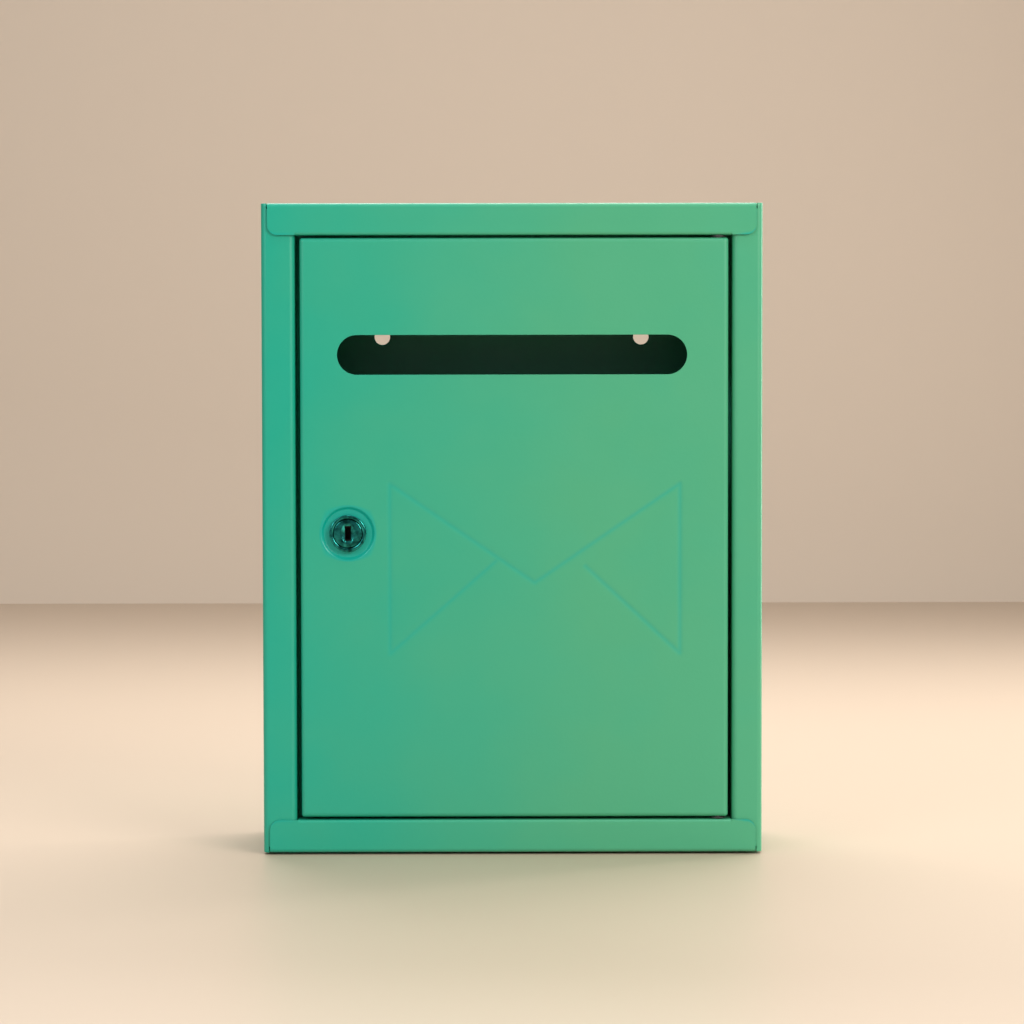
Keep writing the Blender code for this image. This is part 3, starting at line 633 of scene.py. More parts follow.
def door():
    """The pan's outer surface: a flat of grid lines with its holes patched in, then loops that follow
    the roll's quarter circle (sine outwards, one less cosine back) and run down the flanges."""
    centre = np.array([(DOOR_LOW[0] + DOOR_HIGH[0]) / 2, (DOOR_LOW[2] + DOOR_HIGH[2]) / 2])
    whole = np.array([DOOR_HIGH[0] - DOOR_LOW[0], DOOR_HIGH[2] - DOOR_LOW[2]]) / 2
    half = whole - ROLL
    squeeze = (whole[0] - PAN_CORNER) / half[0]
    pin = (PIN_X - centre[0]) / squeeze + DOOR_PIN_PATCH * np.array([-1, 1])
    lock = np.array([LOCK_X, LOCK_Z]) - centre
    slot = np.array([0, SLOT_Z]) - centre
    low, high = ENVELOPE - centre + np.array([[-3, -3], [3, 3]]) * MM
    slot_end = slot[0] + SLOT_HALF + 4 * MM
    slot_bend = slot[0] + SLOT_HALF - SLOT_ROUND - 3 * MM
    slot_rim = SLOT_ROUND + 4 * MM
    x = spaced([-half[0], lock[0] - DISH_PATCH, lock[0] + DISH_PATCH, high[0], slot_end, *pin, half[0]],
               np.array([3, 1, 0.7, 1, 5, 0.4, 2]) * MM)
    x = np.unique(np.r_[x, 2 * slot[0] - slot_end, 2 * slot[0] - slot_bend, slot_bend].round(9))
    z = spaced([-half[1], low[1], high[1], slot[1] - slot_rim, slot[1] + slot_rim, half[1]],
               np.array([7, 0.7, 7, 0.9, 7]) * MM)
    lock_x, lock_z, beside_lock = window(x, z, lock - DISH_PATCH, lock + DISH_PATCH)
    slot_half = np.array([slot_end - slot[0], slot_rim])
    slot_x, slot_z, beside_slot = window(x, z, slot - slot_half, slot + slot_half)

    def place(points, depth):
        depth = np.broadcast_to(depth, points.shape[:-1])
        return np.stack([centre[0] + points[..., 0], DOOR_LOW[1] + depth, centre[1] + points[..., 1]], -1)

    def coined(points):
        return envelope_depth(points[..., 0] + centre[0], points[..., 1] + centre[1])

    flat = grid_of(x, z)
    ring = slot_patch(slot_x, slot_z, slot, SLOT_HALF - SLOT_ROUND, SLOT_ROUND)
    parts = [skin(place(flat, coined(flat)), keep=beside_lock & beside_slot),
             skin(place(ring, coined(ring)), close_v=True)]
    ring, depth = dish_rings(lock_x, lock_z, lock)
    parts.append(skin(place(ring, depth[:, None] + coined(ring)), close_v=True))

    turn = np.linspace(0, math.pi / 2, 9)
    flange_end = DOOR_HIGH[1] - DOOR_LOW[1]
    pin_depth = PIN_Y - DOOR_LOW[1] + DOOR_PIN_PATCH * np.array([-1, 1])
    run = spaced([ROLL, *pin_depth, flange_end], np.array([1, 0.4, 3]) * MM)
    grow = np.r_[ROLL * np.sin(turn), np.full(len(run) - 1, ROLL)]
    depth = np.r_[ROLL * (1 - np.cos(turn)), run[1:]]
    loops = np.stack([pan_loop(x, z, half, g, PAN_CORNER * g / ROLL) for g in grow])
    around = place(loops, depth[:, None])
    closed = np.concatenate([around, around[:, :1]], axis=1)
    middle = (closed[1:, 1:] + closed[:-1, :-1]) / 2
    on_end = np.abs(middle[..., 2] - centre[1]) > whole[1] - 0.2 * MM
    from_pin = np.maximum(np.abs(middle[..., 0] - PIN_X), np.abs(middle[..., 1] - PIN_Y))
    parts.append(skin(around, close_v=True, keep=~(on_end & (from_pin < DOOR_PIN_PATCH))))
    pin_x = lines_within(x, *pin) * squeeze + centre[0]
    pin_y = lines_within(depth, *pin_depth) + DOOR_LOW[1]
    ring = round_patch(pin_x, pin_y, np.array([PIN_X, PIN_Y]), PIN_HOLE)
    for z_end, way in ((DOOR_HIGH[2], 1), (DOOR_LOW[2], -1)):
        part = skin(np.concatenate([ring, np.full((*ring.shape[:2], 1), z_end)], -1), close_v=True)
        parts.append(part if way > 0 else flip(part))
    panel_piece = build("door_panel_steel", parts, COAT, "door", ["door_panel"])
    at = points_of(panel_piece)
    # Painted shade: teal in the envelope's grooves, by their depth, and across the lock's dish.
    coined_share = envelope_depth(at[:, 0], at[:, 2]) / LINE_DEEP
    dished = np.hypot(at[:, 0] - LOCK_X, at[:, 2] - LOCK_Z) < DISH_ROUND + 0.4 * MM
    paint_shade_share(panel_piece, np.where(dished, DISH_SHADE, LINE_SHADE * coined_share))
    make_sheet(panel_piece, -1)


door()


# Hinge: a headed zinc pin drops through each cap's lip and the door's flange. A nylon washer spaces
# them, and an E-clip pressed into the pin's groove holds it. The lower pin is the upper one upside down.

ZINC_TONE = (0.60, 0.61, 0.60)
PIN_HEAD = 3.0 * MM
PIN_HEAD_LOW, PIN_HEAD_TOP = 1.1 * MM, 2.3 * MM
GROOVE = 1.1 * MM
GROOVE_TOP, GROOVE_END = -2.0 * MM, -3.2 * MM
PIN_TIP = -5.6 * MM
CLIP_MOUTH = 50
CLIP_ROUND = PIN_ROUND + 1.1 * MM
CLIP_LOW, CLIP_TOP = -2.9 * MM, -2.3 * MM
NYLON_ROUND = PIN_ROUND + 1.9 * MM
NYLON_LOW, NYLON_TOP = -0.9 * MM, -0.3 * MM


def metal(name, tone, dark, rough, grain, patch=4 * MM):
    """Bare or plated metal: tone and gloss drift over patches, and a fine grain breaks the highlights."""
    material, shader, add, link = new_finish(name)
    # On the dark nickel these patches are painted reflections; on zinc and brass they are tarnish.
    wear_and_reflection = drift(add, link, patch, 0.0, 1.0, 4.0)
    tarnish_and_reflection = tuple(dark * part for part in tone)
    link(blend(add, link, "RGBA", wear_and_reflection, tone, tarnish_and_reflection), shader.inputs["Base Color"])
    link(drift(add, link, 1.5 * MM, *rough), shader.inputs["Roughness"])
    shader.inputs["Metallic"].default_value = 1.0
    bump = add("ShaderNodeBump", Strength=0.6, Distance=grain)
    link(drift(add, link, 0.25 * MM, 0.0, 1.0), bump.inputs["Height"])
    link(bump.outputs["Normal"], shader.inputs["Normal"])
    return material


def plain_nylon():
    """Moulded black nylon: a dull skin with a faint mottle."""
    material, shader, add, link = new_finish("black_nylon")
    shader.inputs["Base Color"].default_value = (0.03, 0.035, 0.035, 1)
    link(drift(add, link, 1.2 * MM, 0.42, 0.55), shader.inputs["Roughness"])
    return material


def about_axis(angle, out, along):
    """Points out from the axis at each row's angle and along it: (out cosine, out sine, along)."""
    across, up = out * np.cos(angle)[:, None], out * np.sin(angle)[:, None]
    return np.stack([across, up, np.broadcast_to(along, across.shape)], -1)


def revolve(corners, radius, steps=48):
    """A profile of (distance out, height) with rounded corners, turned once about the axis."""
    profile = folded(fold_stations(corners, radius), corners, radius)
    angle = np.linspace(0, 2 * math.pi, steps, endpoint=False)
    return about_axis(angle, profile[:, 0], profile[:, 1])


def swept(section, angle, rise=0.0):
    """An open ring with flat ends: a closed section of (distance out, height) carried round from the first
    angle to the last, climbing by the rise, with each end drawn in to its middle."""
    middle = section.mean(0)
    turn = np.r_[angle[0], angle, angle[-1]]
    climb = np.linspace(0, rise, len(angle))[np.r_[0, 0:len(angle), -1]]
    shape = np.broadcast_to(section, (len(turn), *section.shape)).copy()
    shape[[0, -1]] = middle
    return about_axis(turn, shape[..., 0], shape[..., 1] + climb[:, None])


def rounded_box(low, high, round_off):
    """A closed section between two (distance out, height) corners, once round with its corners cut off."""
    (a, b), (c, d), r = low, high, round_off
    return np.array([(a + r, b), (c - r, b), (c, b + r), (c, d - r),
                     (c - r, d), (a + r, d), (a, d - r), (a, b + r)])


ZINC = metal("zinc_plate", ZINC_TONE, 0.82, (0.24, 0.40), 0.004 * MM)
NYLON = plain_nylon()


def hinge(prefix, lip_edge, way):
    """One pivot. Heights run away from the door from the lip's edge, upwards or downwards by way."""

    def stand(points):
        return points * (1, 1, way) + (PIN_X, PIN_Y, lip_edge)

    def add(name, part, finish, slot_name):
        part = part if way > 0 else flip(part)
        build(f"{prefix}_{name}_piece", [part], finish, "housing", [f"{prefix}_{name}"])

    pin = np.array([
        (0, PIN_TIP), (GROOVE, PIN_TIP), (PIN_ROUND, PIN_TIP + PIN_ROUND - GROOVE), (PIN_ROUND, GROOVE_END),
        (GROOVE, GROOVE_END), (GROOVE, GROOVE_TOP), (PIN_ROUND, GROOVE_TOP), (PIN_ROUND, PIN_HEAD_LOW),
        (PIN_HEAD, PIN_HEAD_LOW), (PIN_HEAD, PIN_HEAD_TOP), (0, PIN_HEAD_TOP),
    ])
    easing = np.array([0.05, 0.1, 0.04, 0.04, 0.04, 0.04, 0.08, 0.08, 0.45]) * MM
    add("hinge_pin", skin(stand(revolve(pin, easing)), close_u=True), ZINC, "zinc_plate")
    middle = (NYLON_LOW + NYLON_TOP) / 2
    ring = np.array([(PIN_HOLE, middle), (PIN_HOLE, NYLON_LOW), (NYLON_ROUND, NYLON_LOW),
                     (NYLON_ROUND, NYLON_TOP), (PIN_HOLE, NYLON_TOP), (PIN_HOLE, middle)])
    add("hinge_washer", skin(stand(revolve(ring, 0.1 * MM)), close_u=True), NYLON, "nylon")
    angle = np.radians(np.linspace(CLIP_MOUTH, 360 - CLIP_MOUTH, 45))
    section = rounded_box((GROOVE + FIT, CLIP_LOW), (CLIP_ROUND, CLIP_TOP), 0.07 * MM)
    add("hinge_clip", skin(stand(swept(section, angle)), close_v=True), ZINC, "zinc_plate")


hinge("upper", TOP_LIP, 1)
hinge("lower", BOTTOM_LIP, -1)


# Lock barrel: turned and threaded zinc alloy under dark nickel, with two flats that stop it turning in
# the door. Its head sits in the dish, and a toothed washer and a hexagon nut draw it up from behind.

# Painted reflection: the nickel's teal tone stands for the green coat mirrored in it.
NICKEL_AND_GREEN_REFLECTION = (0.035, 0.40, 0.36)
HEAD_ROUND = 7.9 * MM
HEAD_BACK = LOCK_FRONT + 2.3 * MM
SEAT_ROUND = 6.4 * MM
SEAT_FLOOR = LOCK_FRONT + 1.6 * MM
BORE_ROUND = 4.8 * MM
BARREL_END = LOCK_HIGH[1] - 1.1 * MM
GROOVE_HALF = 3.2 * MM
GROOVE_REACH = 5.25 * MM
GROOVE_START = LOCK_FRONT + 2.5 * MM
STOP_FROM, STOP_TO = 293, 517
STOP_IN, STOP_OUT = 4.89 * MM, 5.5 * MM
THREAD_PITCH = 1.0 * MM
THREAD_DEEP = 0.32 * MM
WASHER_BORE, WASHER_RIM = 6.3 * MM, 8.0 * MM
TEETH = 16
TOOTH, TOOTH_LEAN = 1.0 * MM, 0.12 * MM
NUT_BORE = 6.3 * MM

# Painted reflection: the nickel's deep dark patches stand for dark surroundings mirrored in it.
NICKEL = metal("dark_nickel", NICKEL_AND_GREEN_REFLECTION, 0.16, (0.09, 0.19), 0.004 * MM, 2.6 * MM)


def span(node):
    """Where a solid starts and ends along the lock's axis."""
    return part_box(node)[0][1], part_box(node)[1][1]


def about_lock(grid, close_u=True, close_v=True):
    """A part that faces outwards, from a grid of (across, up, back) about the lock's axis."""
    at = np.stack([LOCK_X + grid[..., 0], grid[..., 2], LOCK_Z + grid[..., 1]], -1)
    return flip(skin(at, close_u, close_v))


def rows(angle, *steps):
    """A grid round the lock's axis: each step is (distance out, place along), single or per angle."""
    out, back = (np.stack([np.broadcast_to(step[i], angle.shape) for step in steps], 1) for i in (0, 1))
    return about_axis(angle, out, back)


def box_round(angle, half_wide, half_tall):
    """Distance from the middle of a rectangle to its edge along each angle."""
    return np.minimum(half_wide / np.maximum(np.abs(np.cos(angle)), 1e-6),
                      half_tall / np.maximum(np.abs(np.sin(angle)), 1e-6))


def barrel():
    """Rows run once round the wall: up the outside from the head's front, over the rear end with its
    raised stop, and back down the bore. The thread is a sine of one turn a pitch, and the flats clip x."""
    plain = np.radians(np.arange(0, 360, 3.0))
    edges = np.radians(np.array([STOP_FROM, STOP_FROM + 0.2, STOP_TO - 360, STOP_TO - 360 - 0.2]))
    angle = np.unique(np.r_[plain, edges].round(6))
    degrees = np.degrees(angle)
    raised = ((degrees > STOP_FROM + 0.1) | (degrees < STOP_TO - 360 - 0.1)) * (LOCK_HIGH[1] - BARREL_END)
    along = np.arange(HEAD_BACK + 1.6 * MM, BARREL_END - 0.3 * MM, THREAD_PITCH / 8)
    turns = angle / (2 * math.pi)
    thread = [(BARREL_ROUND - THREAD_DEEP * (0.5 + 0.5 * np.cos(2 * math.pi * (y / THREAD_PITCH - turns))), y)
              for y in along]
    bore = np.maximum(BORE_ROUND, np.maximum(box_round(angle, GROOVE_HALF, GROOVE_REACH),
                                             box_round(angle, GROOVE_REACH, GROOVE_HALF)))
    bore = np.minimum(bore, BARREL_ROUND - 0.5 * MM)
    root = BARREL_ROUND - THREAD_DEEP
    stop_in = np.maximum(bore, STOP_IN)
    grid = rows(
        angle, (HEAD_ROUND - 0.4 * MM, LOCK_FRONT), (HEAD_ROUND - 0.12 * MM, LOCK_FRONT + 0.1 * MM),
        (HEAD_ROUND, LOCK_FRONT + 0.4 * MM), (HEAD_ROUND, HEAD_BACK - 0.1 * MM),
        (HEAD_ROUND - 0.1 * MM, HEAD_BACK), (BARREL_ROUND, HEAD_BACK),
        (BARREL_ROUND, HEAD_BACK + 1.3 * MM), *thread, (root, BARREL_END),
        (STOP_OUT, BARREL_END), (STOP_OUT, BARREL_END + raised), (stop_in, BARREL_END + raised),
        (stop_in, BARREL_END), (bore, BARREL_END), (bore, GROOVE_START), (BORE_ROUND, GROOVE_START),
        (BORE_ROUND, SEAT_FLOOR), (SEAT_ROUND, SEAT_FLOOR), (SEAT_ROUND, LOCK_FRONT + 0.12 * MM),
        (SEAT_ROUND + 0.12 * MM, LOCK_FRONT))
    body = grid[..., 2] > HEAD_BACK - 1e-7
    body[:, :5] = False
    grid[..., 0] = np.where(body, np.clip(grid[..., 0], -BARREL_FLAT, BARREL_FLAT), grid[..., 0])
    part = about_lock(grid)
    piece = build("lock_barrel_body", [part], NICKEL, "door", ["lock_barrel"])
    soften(piece, 0.05 * MM, 60)


def ring_plate(name, node, angle, inner, outer, low, high, finish, body, slot_name, lean=0.0, ease=0.08 * MM):
    """A flat ring about the lock's axis between two outlines given as a distance for each angle. ease cuts
    its edges off, and lean tips the rim back or forward."""
    grid = rows(angle, (inner + ease, low), (outer - ease, low + lean), (outer, low + ease + lean),
                (outer, high - ease + lean), (outer - ease, high + lean), (inner + ease, high),
                (inner, high - ease), (inner, low + ease))
    part = about_lock(grid)
    piece = build(name, [part], finish, body, [node])
    soften(piece, 0.02 * MM, 60)
    return piece


def toothed_washer():
    """Sixteen twisted teeth: the rim steps between two radii, and tips forward and back by turns."""
    low, high = span("toothed_washer")
    step = 360 / TEETH
    corners = np.array([-7, -5, 5, 7, step / 2])
    angle = np.radians((np.arange(TEETH)[:, None] * step + corners).ravel())
    outer = WASHER_RIM + np.tile([0, TOOTH, TOOTH, 0, 0], TEETH)
    lean = np.tile([0, -TOOTH_LEAN, TOOTH_LEAN, 0, 0], TEETH)
    ring_plate("toothed_washer_ring", "toothed_washer", angle, WASHER_BORE, outer, low + 0.14 * MM,
               high - 0.14 * MM, ZINC, "door", "zinc_plate", lean)


def lock_nut():
    """A hexagon with its corners chamfered at 30 degrees by a cone on both faces, and a countersunk bore."""
    low, high = span("lock_nut")
    angle = np.radians(np.arange(0, 360, 3.0))
    flats = (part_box("lock_nut")[1][2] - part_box("lock_nut")[0][2]) / 2
    hexagon = flats / np.cos((angle % (math.pi / 3)) - math.pi / 6)
    crown = np.minimum(hexagon, flats - 0.1 * MM)
    drop = (hexagon - crown) * math.tan(math.radians(30))
    sink = 0.3 * MM
    grid = rows(angle, (NUT_BORE + sink, low), (crown, low), (hexagon, low + drop), (hexagon, high - drop),
                (crown, high), (NUT_BORE + sink, high), (NUT_BORE, high - sink), (NUT_BORE, low + sink))
    part = about_lock(grid)
    soften(build("lock_nut_hexagon", [part], ZINC, "door", ["lock_nut"]), 0.1 * MM, 25)


barrel()
toothed_washer()
lock_nut()


# Lock plug: a turned nickel-plated core with the keyway down its front, a slot across it for each brass
# wafer, and a square tang behind. The wafers are stamped plates that slide in their slots.

PLUG_FACE = 6.1 * MM
PLUG_ROUND = 4.5 * MM
PLUG_FRONT = LOCK_FRONT + 0.3 * MM
PLUG_STEP = PLUG_FRONT + 1.0 * MM
TANG_HALF = 2.3 * MM
TANG_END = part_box("lock_plug")[1][1]
SCREW_BORE = 1.8 * MM
SCREW_BORE_END = TANG_END - 4.6 * MM
KEYWAY = (1.3 * MM, 3.2 * MM)
KEYWAY_END = LOCK_FRONT + 12.5 * MM
FUNNEL = (2.9 * MM, 4.3 * MM)
FUNNEL_DEEP = 0.55 * MM
# Painted shade: black for the keyway and the wafers' windows near the lock's axis.
KEYWAY_SHADE_ROUND = 3.45 * MM
KEYWAY_SHADE_TONE = (0.006, 0.009, 0.009)
TANG_ACROSS = 1.32 * TANG_HALF
WAFER_SLOT_HALF = 3.3 * MM
WAFER_ROUND, WAFER_HALF = 4.4 * MM, 3.0 * MM
WINDOW = (1.45 * MM, 2.7 * MM)
WINDOW_CORNER = 28.22
WAFERS = [np.array(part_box(f"wafer_{number}")) for number in range(1, 6)]

# Painted shade: the brass is toned far darker than bare brass, since the wafers are seen deep in the keyway.
BRASS = metal("brass", (0.20, 0.145, 0.07), 0.8, (0.16, 0.24), 0.002 * MM)


def paint_keyway_shade(material):
    """Painted shade in the keyway: the keyway and the wafers' windows, all that lies behind the funnel and
    near the lock's axis, turn black, dull and no longer metallic."""
    add, link = helpers_for(material)
    shader = material.node_tree.nodes["Principled BSDF"]
    where = add("ShaderNodeTexCoord")
    inside = add("ShaderNodeVectorMath", operation="SUBTRACT")
    inside.inputs[1].default_value = (LOCK_X, PLUG_FRONT + FUNNEL_DEEP, LOCK_Z)
    link(where.outputs["Object"], inside.inputs[0])
    axes = add("ShaderNodeSeparateXYZ")
    link(inside.outputs["Vector"], axes.inputs["Vector"])
    flat = add("ShaderNodeVectorMath", operation="MULTIPLY")
    flat.inputs[1].default_value = (1, 0, 1)
    link(inside.outputs["Vector"], flat.inputs[0])
    out = add("ShaderNodeVectorMath", operation="LENGTH")
    link(flat.outputs["Vector"], out.inputs[0])
    in_shade = add("ShaderNodeMath", operation="MULTIPLY")
    near = ramp(add, link, out.outputs["Value"], KEYWAY_SHADE_ROUND + 0.1 * MM, KEYWAY_SHADE_ROUND)
    link(near, in_shade.inputs[0])
    link(ramp(add, link, axes.outputs["Y"], 0, 0.5 * MM), in_shade.inputs[1])
    for name, kind, value in (("Base Color", "RGBA", KEYWAY_SHADE_TONE), ("Roughness", "FLOAT", 0.5),
                              ("Metallic", "FLOAT", 0.0)):
        socket = shader.inputs[name]
        bare = socket.links[0].from_socket if socket.is_linked else socket.default_value
        link(blend(add, link, kind, in_shade.outputs["Value"], bare, value), socket)


def block(low, high):
    """A closed box as (vertices, faces)."""
    pick = np.array([(x, y, z) for z in (0, 1) for y in (0, 1) for x in (0, 1)])
    sides = [(0, 2, 3, 1), (4, 5, 7, 6), (0, 1, 5, 4), (2, 6, 7, 3), (0, 4, 6, 2), (1, 3, 7, 5)]
    return np.where(pick == 1, high, low), np.array(sides)


def carve(piece, cutters):
    """Takes closed shapes away from a piece for good."""
    tools = build("carver", cutters, COAT)
    cut = piece.modifiers.new("carve", "BOOLEAN")
    cut.operation = "DIFFERENCE"
    cut.solver = "EXACT"
    cut.object = tools
    carved = bpy.data.meshes.new_from_object(piece.evaluated_get(bpy.context.evaluated_depsgraph_get()))
    piece.modifiers.clear()
    piece.data = carved
    bpy.data.objects.remove(tools)


def plug():
    """Rows start at the middle of the keyway's floor, come forward up its wall, cross the face, run back
    along the body and the tang, and end at the bottom of the screw's bore."""
    angle = np.radians(np.arange(0, 360, 3.0))
    way = box_round(angle, *KEYWAY)
    mouth = 1 / np.hypot(np.cos(angle) / FUNNEL[0], np.sin(angle) / FUNNEL[1])
    bowl = [(way + (mouth - way) * share, PLUG_FRONT + FUNNEL_DEEP * (1 - share))
            for share in (0, 0.08, 0.92)]
    tang = np.minimum(box_round(angle, TANG_HALF, TANG_HALF), TANG_ACROSS)
    bore = SCREW_BORE
    grid = rows(
        angle, (0, KEYWAY_END), (way, KEYWAY_END), *bowl, (mouth, PLUG_FRONT),
        (mouth + 0.12 * MM, PLUG_FRONT), (PLUG_FACE - 0.3 * MM, PLUG_FRONT),
        (PLUG_FACE - 0.09 * MM, PLUG_FRONT + 0.09 * MM), (PLUG_FACE, PLUG_FRONT + 0.3 * MM),
        (PLUG_FACE, PLUG_STEP), (PLUG_ROUND, PLUG_STEP), (PLUG_ROUND, BARREL_END), (tang, BARREL_END),
        (tang, TANG_END - 0.2 * MM), (tang - 0.2 * MM, TANG_END), (bore + 0.15 * MM, TANG_END),
        (bore, TANG_END - 0.15 * MM), (bore, SCREW_BORE_END), (0, SCREW_BORE_END))
    part = about_lock(grid, close_v=False)
    piece = build("lock_plug_core", [part], NICKEL, "plug", ["lock_plug"])
    slots = []
    for low, high in WAFERS:
        half = (high[1] - low[1]) / 2 + FIT
        middle = (high[1] + low[1]) / 2
        slots.append(block((LOCK_X - WAFER_SLOT_HALF, middle - half, LOCK_Z - HEAD_ROUND),
                           (LOCK_X + WAFER_SLOT_HALF, middle + half, LOCK_Z + HEAD_ROUND)))
    carve(piece, slots)
    soften(piece, 0.04 * MM, 40)


def wafers():
    """Each plate is a disc cut straight on two sides, with the key's window punched through it."""
    corners = np.array([WINDOW_CORNER, 90 - WINDOW_CORNER]) + np.arange(0, 360, 90)[:, None]
    angle = np.unique(np.radians(np.r_[0:360:6.0, corners.ravel()]))
    outer = np.minimum(WAFER_ROUND, WAFER_HALF / np.maximum(np.abs(np.cos(angle)), 1e-6))
    inner = box_round(angle, *WINDOW)
    for number, (low, high) in enumerate(WAFERS, 1):
        ring_plate(f"wafer_{number}_plate", f"wafer_{number}", angle, inner, outer, low[1], high[1],
                   BRASS, f"wafer_{number}_body", "brass", ease=0.05 * MM)


# Painted shade: the keyway is painted black on the nickel plug and on the brass wafers.
paint_keyway_shade(NICKEL)
paint_keyway_shade(BRASS)
plug()
wafers()


# Behind the plug: a washer with one tab meets the barrel's stop, the cam turns behind the wrap's ledge,
# and a split spring washer and a slotted screw hold both on the tang. All are zinc-plated steel.

TANG_HOLE = 2.6 * MM
CAM_HALF = 5.5 * MM
CAM_REACH = 20.0 * MM
CAM_CORNER = 2.0 * MM
TAB_HALF = 18
SPRING = (1.8 * MM, 4.2 * MM)
SPRING_SPLIT = 0.2 * MM
SHANK_ROUND, SCREW_ROUND = 1.5 * MM, 3.5 * MM
SCREW_HEAD = 2.0 * MM
SCREW_SLOT_HALF, SCREW_SLOT_DEEP = 0.4 * MM, 1.0 * MM


def cam_outline(x, y):
    """Distance outside the cam: a disc on the axis joined to an arm that hangs down with round corners."""
    qx = np.abs(x) - (CAM_HALF - CAM_CORNER)
    qy = np.abs(y + CAM_REACH / 2) - (CAM_REACH / 2 - CAM_CORNER)
    arm = np.hypot(np.maximum(qx, 0), np.maximum(qy, 0)) + np.minimum(np.maximum(qx, qy), 0) - CAM_CORNER
    upper = np.maximum(np.abs(x) - CAM_HALF, np.abs(y + CAM_HALF) - CAM_HALF)
    return np.minimum(np.minimum(np.hypot(x, y) - CAM_HALF, arm), upper)


def plug_rear():
    """The tab washer and the cam are rings about a square hole. The spring washer climbs along its split
    turn, and the screw is a turned pan head and shank with a slot cut across."""
    angle = np.unique(np.radians(np.r_[0:360:5.0, 251.8, 252.0, 288.0, 288.2]))
    degrees = np.degrees(angle)
    outer = np.where(np.abs(degrees - 270) < TAB_HALF + 0.1, STOP_OUT, PLUG_ROUND + 0.1 * MM)
    ring_plate("stop_washer_plate", "stop_washer", angle, box_round(angle, TANG_HOLE, TANG_HOLE), outer,
               *span("stop_washer"), ZINC, "plug", "zinc_plate")
    angle = np.unique(np.radians(np.r_[0:252:4.0, 252:288:0.75, 288:360:4.0]))
    outer = ray_outline(cam_outline, angle, 1.2 * CAM_REACH)
    ring_plate("lock_cam_arm", "lock_cam", angle, box_round(angle, TANG_HOLE, TANG_HOLE), outer,
               *span("lock_cam"), ZINC, "plug", "zinc_plate", ease=0.15 * MM)

    low, high = span("spring_washer")
    section = rounded_box((SPRING[0], low), (SPRING[1], high - SPRING_SPLIT), 0.08 * MM)
    turn = np.radians(np.linspace(6, 354, 60))
    part = about_lock(swept(section, turn, SPRING_SPLIT), close_u=False)
    build("spring_washer_coil", [part], ZINC, "plug", ["spring_washer"])

    tip, top = span("cam_screw")
    seat = top - SCREW_HEAD
    profile = np.array([(0, tip), (SHANK_ROUND, tip), (SHANK_ROUND, seat), (SCREW_ROUND, seat),
                        (SCREW_ROUND, top), (0, top)])
    part = about_lock(revolve(profile, np.array([0.3, 0.1, 0.1, 0.7]) * MM), close_v=False)
    screw = build("cam_screw_turned", [part], ZINC, "plug", ["cam_screw"])
    slot_half = np.array([HEAD_ROUND, SCREW_SLOT_DEEP, SCREW_SLOT_HALF])
    slot_at = np.array([LOCK_X, top, LOCK_Z])
    carve(screw, [block(slot_at - slot_half, slot_at + slot_half)])
    soften(screw, 0.05 * MM, 40)


plug_rear()


# Studio: a pale table top and a pale wall behind, soft lamps overhead, to the right and to the left, and
# two behind that light the top and right edges. The box's base isn't quite flat, so it stands a hair off
# the table. The camera stands over a metre off, above mid height.

FLOOR_TONE = (0.61, 0.485, 0.375)
WALL_TONE = (0.68, 0.575, 0.48)
TABLE_DROP = 1.0 * MM
WORLD_TONE, WORLD_STRENGTH = (0.94, 0.92, 0.88), 0.34
CAMERA_AT = (-0.0032, FRONT - 1.2, 0.1928)
CAMERA_TURN, CAMERA_DIP, CAMERA_ROLL = -0.146, 2.195, -0.096
CAMERA_LENS = 98.42


def panel(name, corners, tone, rough):
    """A flat backdrop piece with four corners and one even, matt colour."""
    material, shader = new_finish(name)[:2]
    shader.inputs["Base Color"].default_value = (*tone, 1)
    shader.inputs["Roughness"].default_value = rough
    surface = build(name, [(np.array(corners, float), np.array([(0, 1, 2, 3)]))], material)


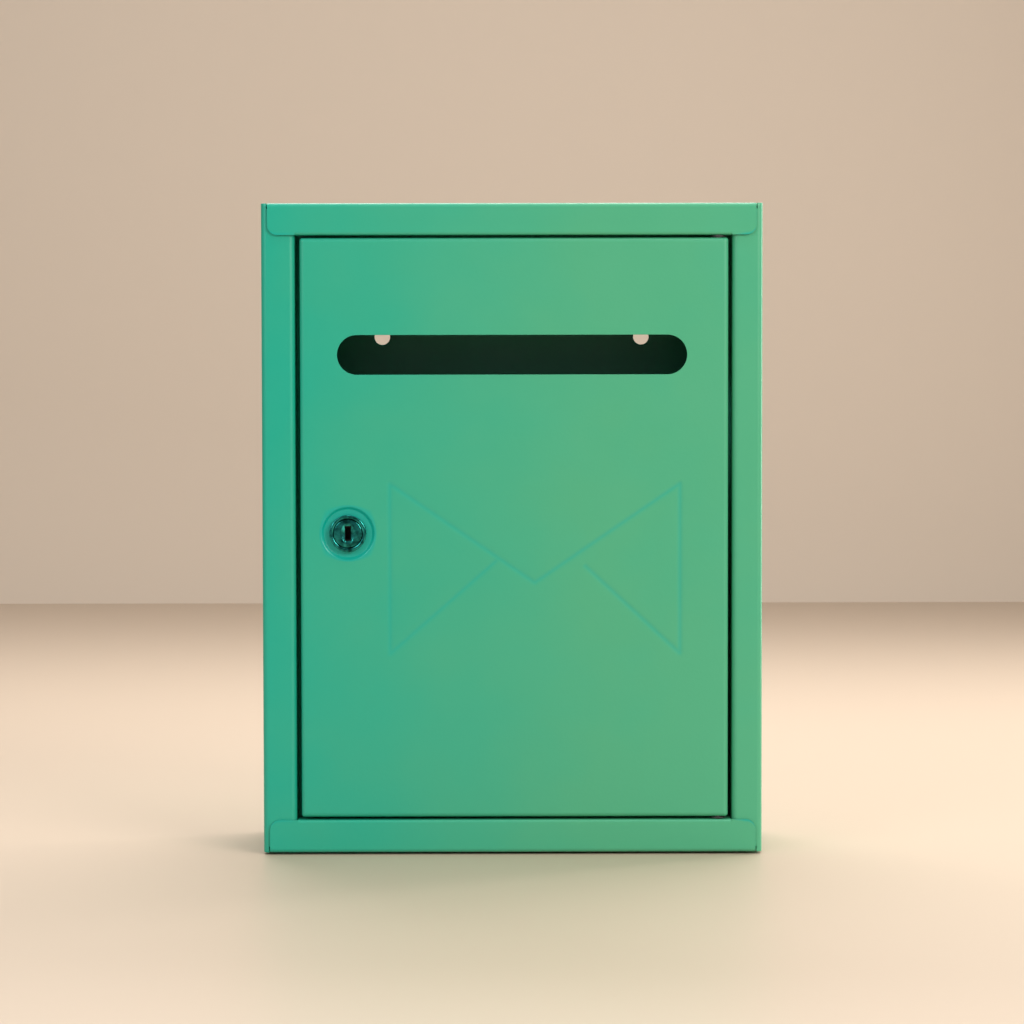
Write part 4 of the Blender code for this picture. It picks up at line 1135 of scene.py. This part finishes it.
def lamp(name, at, aim, size, power, tone):
    """A rectangular soft lamp at a place, turned to face a point."""
    light = bpy.data.lights.new(name, "AREA")
    light.shape = "RECTANGLE"
    light.size, light.size_y = size
    light.energy = power
    light.color = tone
    holder = bpy.data.objects.new(name, light)
    bpy.context.scene.collection.objects.link(holder)
    holder.location = at
    holder.rotation_euler = (Vector(aim) - Vector(at)).to_track_quat("-Z", "Y").to_euler()


low = -TABLE_DROP
panel("table_top", [(-3, -2.5, low), (3, -2.5, low), (3, 1.5, low), (-3, 1.5, low)], FLOOR_TONE, 0.45)
panel("wall_behind", [(-3, 1.5, low), (3, 1.5, low), (3, 1.5, 3), (-3, 1.5, 3)], WALL_TONE, 0.8)
lamp("overhead", (0.1, 0.05, 1.35), (0, 0, 0.2), (1.3, 0.8), 9, (1.0, 0.99, 0.97))
lamp("warm_right", (1.1, -1.3, 0.9), (0, 0, 0.14), (0.9, 0.7), 19.2, (1.0, 0.95, 0.88))
lamp("cool_left", (-1.1, -1.3, 0.85), (0, 0, 0.14), (0.9, 0.7), 8.3, (0.88, 0.97, 1.0))
lamp("rim_above", (0.1, 0.7, 0.95), (0, 0, 0.28), (1.5, 0.25), 11.5, (1.0, 1.0, 1.0))
lamp("rim_right", (1.1, 0.55, 0.35), (0.1, 0, 0.15), (0.2, 0.9), 8, (1.0, 0.98, 0.94))

world = bpy.data.worlds.new("studio")
bpy.context.scene.world = world
world.use_nodes = True
glow = world.node_tree.nodes["Background"]
glow.inputs["Color"].default_value = (*WORLD_TONE, 1)
glow.inputs["Strength"].default_value = WORLD_STRENGTH
bpy.context.scene.view_settings.view_transform = "Standard"
bpy.context.scene.view_settings.look = "None"

camera_data = bpy.data.cameras.new("camera")
camera_data.lens = CAMERA_LENS
camera_data.sensor_width = 36
camera_data.clip_start = 0.05
camera = bpy.data.objects.new("camera", camera_data)
bpy.context.scene.collection.objects.link(camera)
camera.location = CAMERA_AT
turns = [Matrix.Rotation(math.radians(degrees), 3, axis)
         for degrees, axis in ((CAMERA_TURN, "Z"), (90 - CAMERA_DIP, "X"), (CAMERA_ROLL, "Z"))]
camera.rotation_euler = (turns[0] @ turns[1] @ turns[2]).to_euler()
bpy.context.scene.camera = camera
